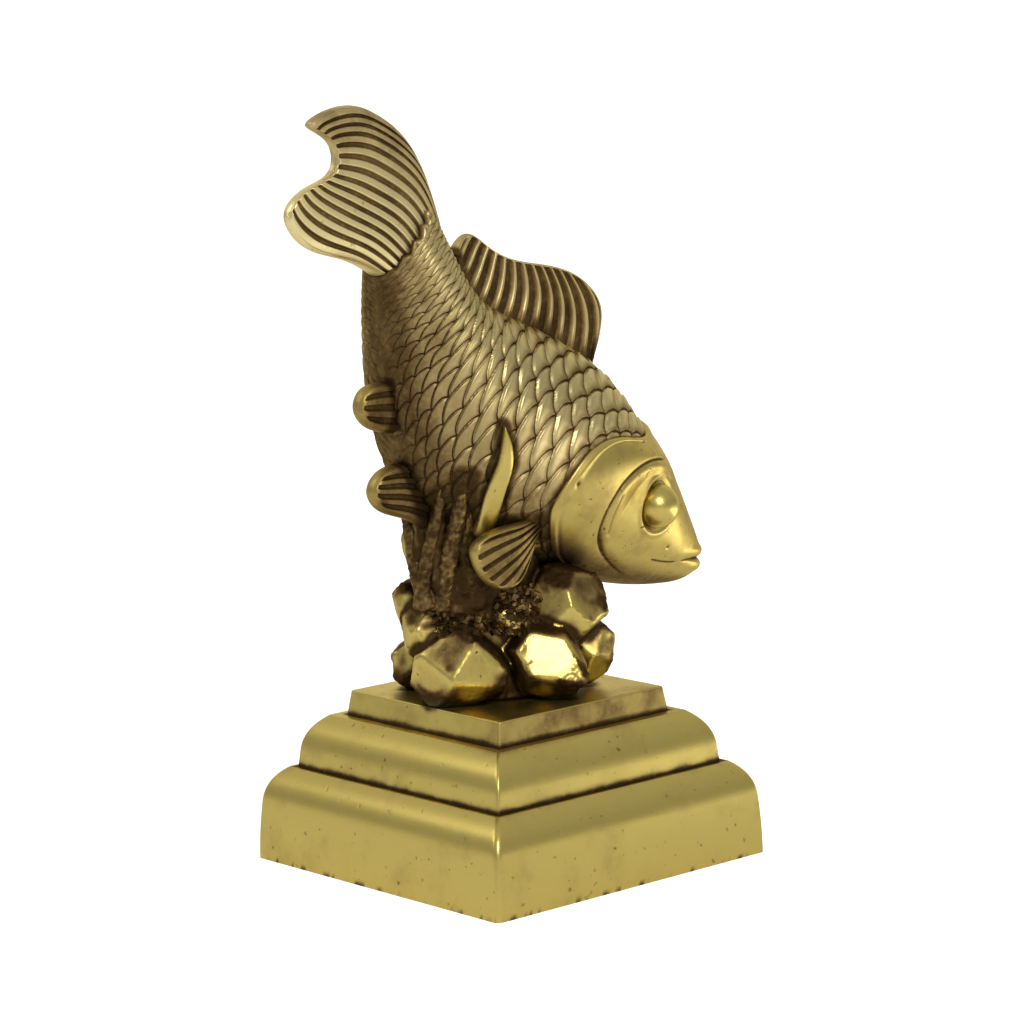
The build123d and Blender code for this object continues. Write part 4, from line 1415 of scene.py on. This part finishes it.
def plinth_mesh(name, base):
    """Stepped plinth, empty inside, with worn edges."""
    corners, path = plinth_outline()
    wall, worn = base.plinth_wall, base.plinth_edge
    top = corners[-1]
    hole, round_within = 3.3 * MM, 14 * MM
    outer = [(p.x, p.y) for p in path]
    plate = [(top[0] * (1 - s) + hole * s, top[1]) for s in np.linspace(0, 1, 36)]
    under = top[1] - wall
    inner = [
        (hole, under), (0.012, under), (corners[6][0] - wall, under),
        (corners[6][0] - wall, under - wall / 2),
        *((corners[number][0] - wall, corners[number][1] - wall) for number in (4, 3, 1)),
        (corners[1][0] - wall, 0.0004), (corners[1][0] - wall + 0.0004, 0.0),
    ]
    rim = [(corners[0][0] - 0.0006, 0.0), (corners[0][0] - 0.0002, 0.0002)]
    loop = rounded_profile(outer + plate + inner + rim, worn)
    rings = []
    for half, z in loop:
        inset = corners[0][0] - half
        radius = min(max(base.plinth_corner - 0.1 * inset, worn), half)
        if half < round_within:
            radius = half
        ring = rounded_square(half, radius, 100)
        rings.append(np.concatenate([ring, np.full((len(ring), 1), z)], axis=1))
    points = np.array(rings)
    points = np.concatenate([points, points[:1]])
    return sealed(grid_mesh(name, points, closed=True))


def rounded_profile(points, radius):
    """Profile with its sharp corners eased over a short reach."""
    eased = []
    count = len(points)
    for i, point in enumerate(points):
        here = Vector(point)
        before, after = Vector(points[i - 1]) - here, Vector(points[(i + 1) % count]) - here
        if before.length < 1e-7:
            continue
        if after.length < 1e-7:
            after = Vector(points[(i + 2) % count]) - here
        turn = math.pi - before.angle(after)
        if turn < math.radians(20):
            eased.append(tuple(here))
            continue
        reach = min(radius, before.length * 0.45, after.length * 0.45)
        start, end = here + before.normalized() * reach, here + after.normalized() * reach
        for share in np.linspace(0, 1, 5):
            low = start.lerp(here, share)
            eased.append(tuple(low.lerp(here.lerp(end, share), share)))
    return eased


# Operators


class CarpOperator:
    """Shared way to reach the settings."""

    bl_options = {"REGISTER", "UNDO"}

    @staticmethod
    def settings(context):
        return context.scene.carp, context.scene.carp_base


class OBJECT_OT_carp_body(CarpOperator, bpy.types.Operator):
    """Build both halves of the carp: scaled flanks, smooth head and eyes"""

    bl_idname = "object.carp_body"
    bl_label = "Carp body"

    def execute(self, context):
        carp, _ = self.settings(context)
        hull = Hull(carp)
        tree = scale_tree()
        flank_finish = brass("scaled_brass", scales=True)
        head_finish = brass("polished_brass")
        for word, side in SIDES.items():
            flank = placed(f"carp_flank_{word}", flank_mesh("flank", hull, carp, side))
            shaped_by(flank, tree, flank_finish, lift=carp.scale_lift, bow=carp.scale_bow)
            sealed(flank.data)
            seam_normals(flank.data)
            declare(flank, "carp_brass", f"fish_body_{word}")
            mesh = joined("head", [head_mesh("skull", hull, carp, side), eye_mesh("eye", carp, side)])
            mesh.shade_smooth()
            seam_normals(mesh)
            declare(placed(f"carp_head_{word}", mesh, head_finish), "carp_brass", f"fish_body_{word}")
        return {"FINISHED"}


class OBJECT_OT_carp_fins(CarpOperator, bpy.types.Operator):
    """Build the tail, dorsal, anal, pelvic and pectoral fins with their rays"""

    bl_idname = "object.carp_fins"
    bl_label = "Carp fins"

    def execute(self, context):
        carp, _ = self.settings(context)
        tree = ray_tree()
        # The tail's finish is painted lighter, for the light that it catches
        finishes = {"dorsal_fin": brass("fin_brass"), "tail_fin": brass("tail_brass")}
        small_finish = brass("small_fin_brass")
        for node, (outline, edge_points, root) in FINS.items():
            *form, rays, depth, groove, shade, oval, grime, painted_front_shade = FIN_LOOKS[node]
            mesh = fin_mesh(
                node, fish_places(outline, carp), edge_points, fish_places(root, carp), *form,
                oval, grime, painted_front_shade)
            fin = shaped_by(
                placed(f"{node}_cast", mesh), tree, finishes.get(node, small_finish),
                rays=float(rays), depth=depth, groove_share=groove, shade=shade)
            sealed(fin.data)
            declare(fin, "fin_brass", node)
        for word, side in SIDES.items():
            fin = shaped_by(
                placed(f"pectoral_fin_{word}_cast", pectoral_mesh(carp, side)), tree, small_finish,
                rays=7.0, depth=0.0008, groove_share=0.50, shade=0.85)
            sealed(fin.data)
            declare(fin, "fin_brass", f"pectoral_fin_{word}")
        return {"FINISHED"}


class OBJECT_OT_carp_seaweed(CarpOperator, bpy.types.Operator):
    """Build the seaweed: blades along the flanks, and rough stems up from the rock"""

    bl_idname = "object.carp_seaweed"
    bl_label = "Seaweed"

    def execute(self, context):
        carp, _ = self.settings(context)
        hull = Hull(carp)
        finish = brass("weed_brass")
        for word, side in SIDES.items():
            blade = placed(f"seaweed_blade_{word}_cast", blade_mesh("blade", hull, carp, side), finish)
            declare(blade, "weed_brass", f"seaweed_blade_{word}")
            radius = carp.stem_radius
            radii = np.array((0.3, 0.7, 0.9, 0.95, 1.0)) * radius
            meshes = [tube_mesh("stem", stem_route(carp, side), radii, SEEDS["stem"], 0.00022)]
            for number, (x_shift, y_shift, thin) in enumerate(STRIP_OFFSETS):
                route = stem_route(carp, side, x_shift, y_shift)
                radii = np.array((0.3, 0.8, 1.0, 1.1)) * radius * thin
                meshes.append(tube_mesh("strip", route, radii, SEEDS["strips"] + number, 0.00012, 24))
            mesh = joined("stems", meshes)
            mesh.shade_smooth()
            stem = placed(f"seaweed_stem_{word}_cast", mesh, finish)
            declare(stem, "weed_brass", f"seaweed_stem_{word}")
        return {"FINISHED"}


class OBJECT_OT_carp_rock(CarpOperator, bpy.types.Operator):
    """Build the rock as one casting of boulders round a core, with rough crystals"""

    bl_idname = "object.carp_rock"
    bl_label = "Rock"

    def execute(self, context):
        carp, base = self.settings(context)
        finish = brass("rock_brass")
        rock = cast_rock(base, carp, finish)
        mesh = rock.data
        weather_rock(mesh, base)
        crystals = placed("rock_crystals", mesh.copy())
        shaped_by(crystals, crystal_tree(), finish, size=0.0011, density=1.2e6, seed=SEEDS["crystals"])
        crystals.data.shade_flat()
        places = vertex_array(crystals.data)
        grains = rough(places, 0.0025, SEEDS["grains"])
        set_values(crystals.data, "hollow", 0.4 + 0.55 * smooth(grains, -0.4, 0.2))
        declare(rock, "rock_brass", "rock_mount")
        declare(crystals, "rock_brass")
        return {"FINISHED"}


class OBJECT_OT_carp_plinth(CarpOperator, bpy.types.Operator):
    """Build the stepped plinth, empty inside"""

    bl_idname = "object.carp_plinth"
    bl_label = "Plinth"

    def execute(self, context):
        _, base = self.settings(context)
        mesh = plinth_mesh("plinth", base)
        corners, _ = plinth_outline()
        places = vertex_array(mesh)
        profile = np.stack([np.abs(places[:, :2]).max(axis=1), places[:, 2]], axis=1)
        cloudy = 0.5 + 0.5 * rough(places, 0.006, SEEDS["clouds"])
        height = profile[:, 1]
        upper = smooth(height, 0.0355, 0.0370) * (height < PLINTH_TOP - 0.0002)
        # Patina clouds on the upper tier, and painted shade that darkens its face towards -Y
        hollow = upper * (0.15 * cloudy + 0.30 * smooth(-places[:, 1], 0.020, 0.026))
        for foot in (corners[3], corners[6]):
            away = np.linalg.norm(profile - foot, axis=1)
            hollow = np.maximum(hollow, bump(away, 0.0006 + 0.0010 * cloudy))
        chips = smooth(rough(places, 0.0028, SEEDS["chips"]), 0.1, 0.4)
        rim = chips * (1 - smooth(height, 0.0003, 0.0015))
        set_values(mesh, "hollow", np.clip(np.maximum(hollow, 0.8 * rim), 0, 1))
        finish = brass("plinth_brass", brushed=True)
        declare(placed("plinth_cast", mesh, finish), "plinth_brass", "plinth")
        return {"FINISHED"}


class OBJECT_OT_carp_fixing(CarpOperator, bpy.types.Operator):
    """Dress the stud, washer and nut under the plinth"""

    bl_idname = "object.carp_fixing"
    bl_label = "Fixing"

    def execute(self, context):
        steel = steel_material()
        for name in ("fixing_stud", "fixing_washer", "fixing_nut"):
            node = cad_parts[name]
            node.data.materials.clear()
            node.data.materials.append(steel)
        return {"FINISHED"}


class OBJECT_OT_carp_joint_patina_shade(CarpOperator, bpy.types.Operator):
    """Darken each piece close to the pieces that it meets, with patina and painted shade"""

    bl_idname = "object.carp_patina"
    # The darkening in the joints is patina and painted shade
    bl_label = "Patina in the joints"

    def execute(self, context):
        pieces = [piece for piece in context.scene.objects if piece.type == "MESH"]
        for carrier_name, maker_name, reach in CONTACTS:
            makers = [piece.data for piece in pieces if piece.name.startswith(maker_name)]
            near = np.concatenate([vertex_array(mesh) for mesh in makers])
            low, high = near.min(axis=0) - reach, near.max(axis=0) + reach
            tree = kdtree.KDTree(len(near))
            for number, place in enumerate(near):
                tree.insert(place, number)
            tree.balance()
            for piece in pieces:
                if piece.name.startswith(carrier_name):
                    self.darken(piece.data, tree, low, high, reach)
        return {"FINISHED"}

    @staticmethod
    def darken(mesh, tree, low, high, reach):
        """Raise the patina and painted shade on the points within reach of a tree's points."""
        places = vertex_array(mesh)
        hollow = get_values(mesh, "hollow")
        chosen = np.flatnonzero(((places > low) & (places < high)).all(axis=1))
        away = np.array([tree.find(places[number])[2] for number in chosen])
        if len(chosen):
            hollow[chosen] = np.maximum(hollow[chosen], 0.92 * (1 - smooth(away, 0.0004, reach)))
            set_values(mesh, "hollow", hollow)


class OBJECT_OT_carp_stage(CarpOperator, bpy.types.Operator):
    """Set the floor, the lamps, the world and the camera"""

    bl_idname = "object.carp_stage"
    bl_label = "Stage"

    def execute(self, context):
        stage = context.scene.carp_stage
        context.scene.view_settings.view_transform = "Standard"
        reach = stage.floor_reach
        corners = np.array([[(x, y, 0) for x in (-reach, reach)] for y in (-reach, reach)])
        floor = placed("floor", grid_mesh("floor", corners), self.floor_material())
        sealed(floor.data)
        self.world(context)
        for name, (place, width, height, power, target) in LAMPS.items():
            self.lamp(name, place, width, height, getattr(stage, power), target)
        self.camera(context, stage)
        return {"FINISHED"}

    @staticmethod
    def floor_material():
        """Pale floor that looks white to the camera and in the metal, and keeps its shadow."""
        material, graph, shader = new_material("pale_floor")
        shader.inputs["Base Color"].default_value = (0.80, 0.80, 0.80, 1)
        shader.inputs["Roughness"].default_value = 0.9
        shader.inputs["Emission Color"].default_value = (1, 1, 1, 1)
        path = graph.add("ShaderNodeLightPath")
        shown = graph.math("MULTIPLY", path.outputs["Is Camera Ray"], 0.75)
        mirrored = graph.math("MULTIPLY", path.outputs["Is Glossy Ray"], 0.25)
        graph.feed(shader.inputs["Emission Strength"], graph.math("ADD", shown, mirrored))
        return material

    @staticmethod
    def world(context):
        """Soft room light, dim on the camera's side, with a white backdrop behind the part."""
        world = bpy.data.worlds.new("studio")
        context.scene.world = world
        world.use_nodes = True
        graph = Graph(world.node_tree)
        background = world.node_tree.nodes["Background"]
        path = graph.add("ShaderNodeLightPath")
        direction = graph.add("ShaderNodeTexCoord").outputs["Generated"]
        split = graph.add("ShaderNodeSeparateXYZ", {0: direction})
        level = graph.ramp(split.outputs["Z"], -0.05, 0.8, 0.36, 0.58)
        behind = graph.math(
            "ADD", graph.math("MULTIPLY", split.outputs["X"], 0.67),
            graph.math("MULTIPLY", split.outputs["Y"], 0.74))
        mirrored = graph.math("MULTIPLY", path.outputs["Is Glossy Ray"], graph.ramp(behind, 0.35, 0.95))
        shown = graph.math("MAXIMUM", path.outputs["Is Camera Ray"], mirrored)
        strength = graph.add("ShaderNodeMix", {0: shown, 2: level, 3: 1.0}, data_type="FLOAT")
        graph.feed(background.inputs["Strength"], strength.outputs[0])
        background.inputs["Color"].default_value = (1, 1, 1, 1)

    @staticmethod
    def lamp(name, place, width, height, power, target):
        """Soft lamp aimed at a target."""
        light = bpy.data.lights.new(name, "AREA")
        light.energy = power
        light.shape = "RECTANGLE"
        light.size = width
        light.size_y = height
        lamp = bpy.data.objects.new(name, light)
        bpy.context.scene.collection.objects.link(lamp)
        lamp.location = place
        aim = Vector(target) - Vector(place)
        lamp.rotation_euler = aim.to_track_quat("-Z", "Y").to_euler()

    @staticmethod
    def camera(context, stage):
        """Camera at the photograph's angle."""
        turn, lift, lean = stage.azimuth, stage.elevation, stage.roll
        back = Vector((
            math.sin(turn) * math.cos(lift), -math.cos(turn) * math.cos(lift), math.sin(lift)))
        level = Vector((math.cos(turn), math.sin(turn), 0))
        right = level * math.cos(lean) + back.cross(level) * math.sin(lean)
        camera = bpy.data.objects.new("camera", bpy.data.cameras.new("camera"))
        context.scene.collection.objects.link(camera)
        camera.data.lens = stage.lens
        camera.data.sensor_width = 36.0
        camera.data.clip_end = 100.0
        frame_axes = Matrix((right, back.cross(right), back)).transposed()
        camera.matrix_world = Matrix.Translation(
            Vector(stage.target) + back * stage.distance) @ frame_axes.to_4x4()
        context.scene.camera = camera


class VIEW3D_PT_carp(bpy.types.Panel):
    """Lists the pieces of the figurine and their sizes"""

    bl_label = "Carp figurine"
    bl_space_type = "VIEW_3D"
    bl_region_type = "UI"
    bl_category = "Carp"

    def draw(self, context):
        layout = self.layout
        for operator in OPERATORS:
            layout.operator(operator.bl_idname)
        for group in SETTINGS:
            box = layout.box()
            values = getattr(context.scene, group)
            for name in values.bl_rna.properties.keys()[2:]:
                box.prop(values, name)


OPERATORS = (
    OBJECT_OT_carp_stage, OBJECT_OT_carp_body, OBJECT_OT_carp_fins, OBJECT_OT_carp_seaweed,
    OBJECT_OT_carp_rock, OBJECT_OT_carp_plinth, OBJECT_OT_carp_fixing, OBJECT_OT_carp_joint_patina_shade,
)
SETTINGS = {
    "carp": CarpSettings, "carp_base": BaseSettings, "carp_finish": FinishSettings,
    "carp_stage": StageSettings,
}


def register():
    """Register the settings, the operators and the panel."""
    for name, group in SETTINGS.items():
        bpy.utils.register_class(group)
        setattr(bpy.types.Scene, name, PointerProperty(type=group))
    for item in (*OPERATORS, VIEW3D_PT_carp):
        bpy.utils.register_class(item)


def unregister():
    """Take the panel, the operators and the settings away again."""
    for item in (VIEW3D_PT_carp, *reversed(OPERATORS)):
        bpy.utils.unregister_class(item)
    for name, group in SETTINGS.items():
        delattr(bpy.types.Scene, name)
        bpy.utils.unregister_class(group)


def main():
    """Build every piece in order."""
    register()
    bpy.ops.object.carp_stage()
    bpy.ops.object.carp_body()
    bpy.ops.object.carp_fins()
    bpy.ops.object.carp_seaweed()
    bpy.ops.object.carp_rock()
    bpy.ops.object.carp_plinth()
    bpy.ops.object.carp_fixing()
    bpy.ops.object.carp_patina()


if __name__ == "__main__":
    main()
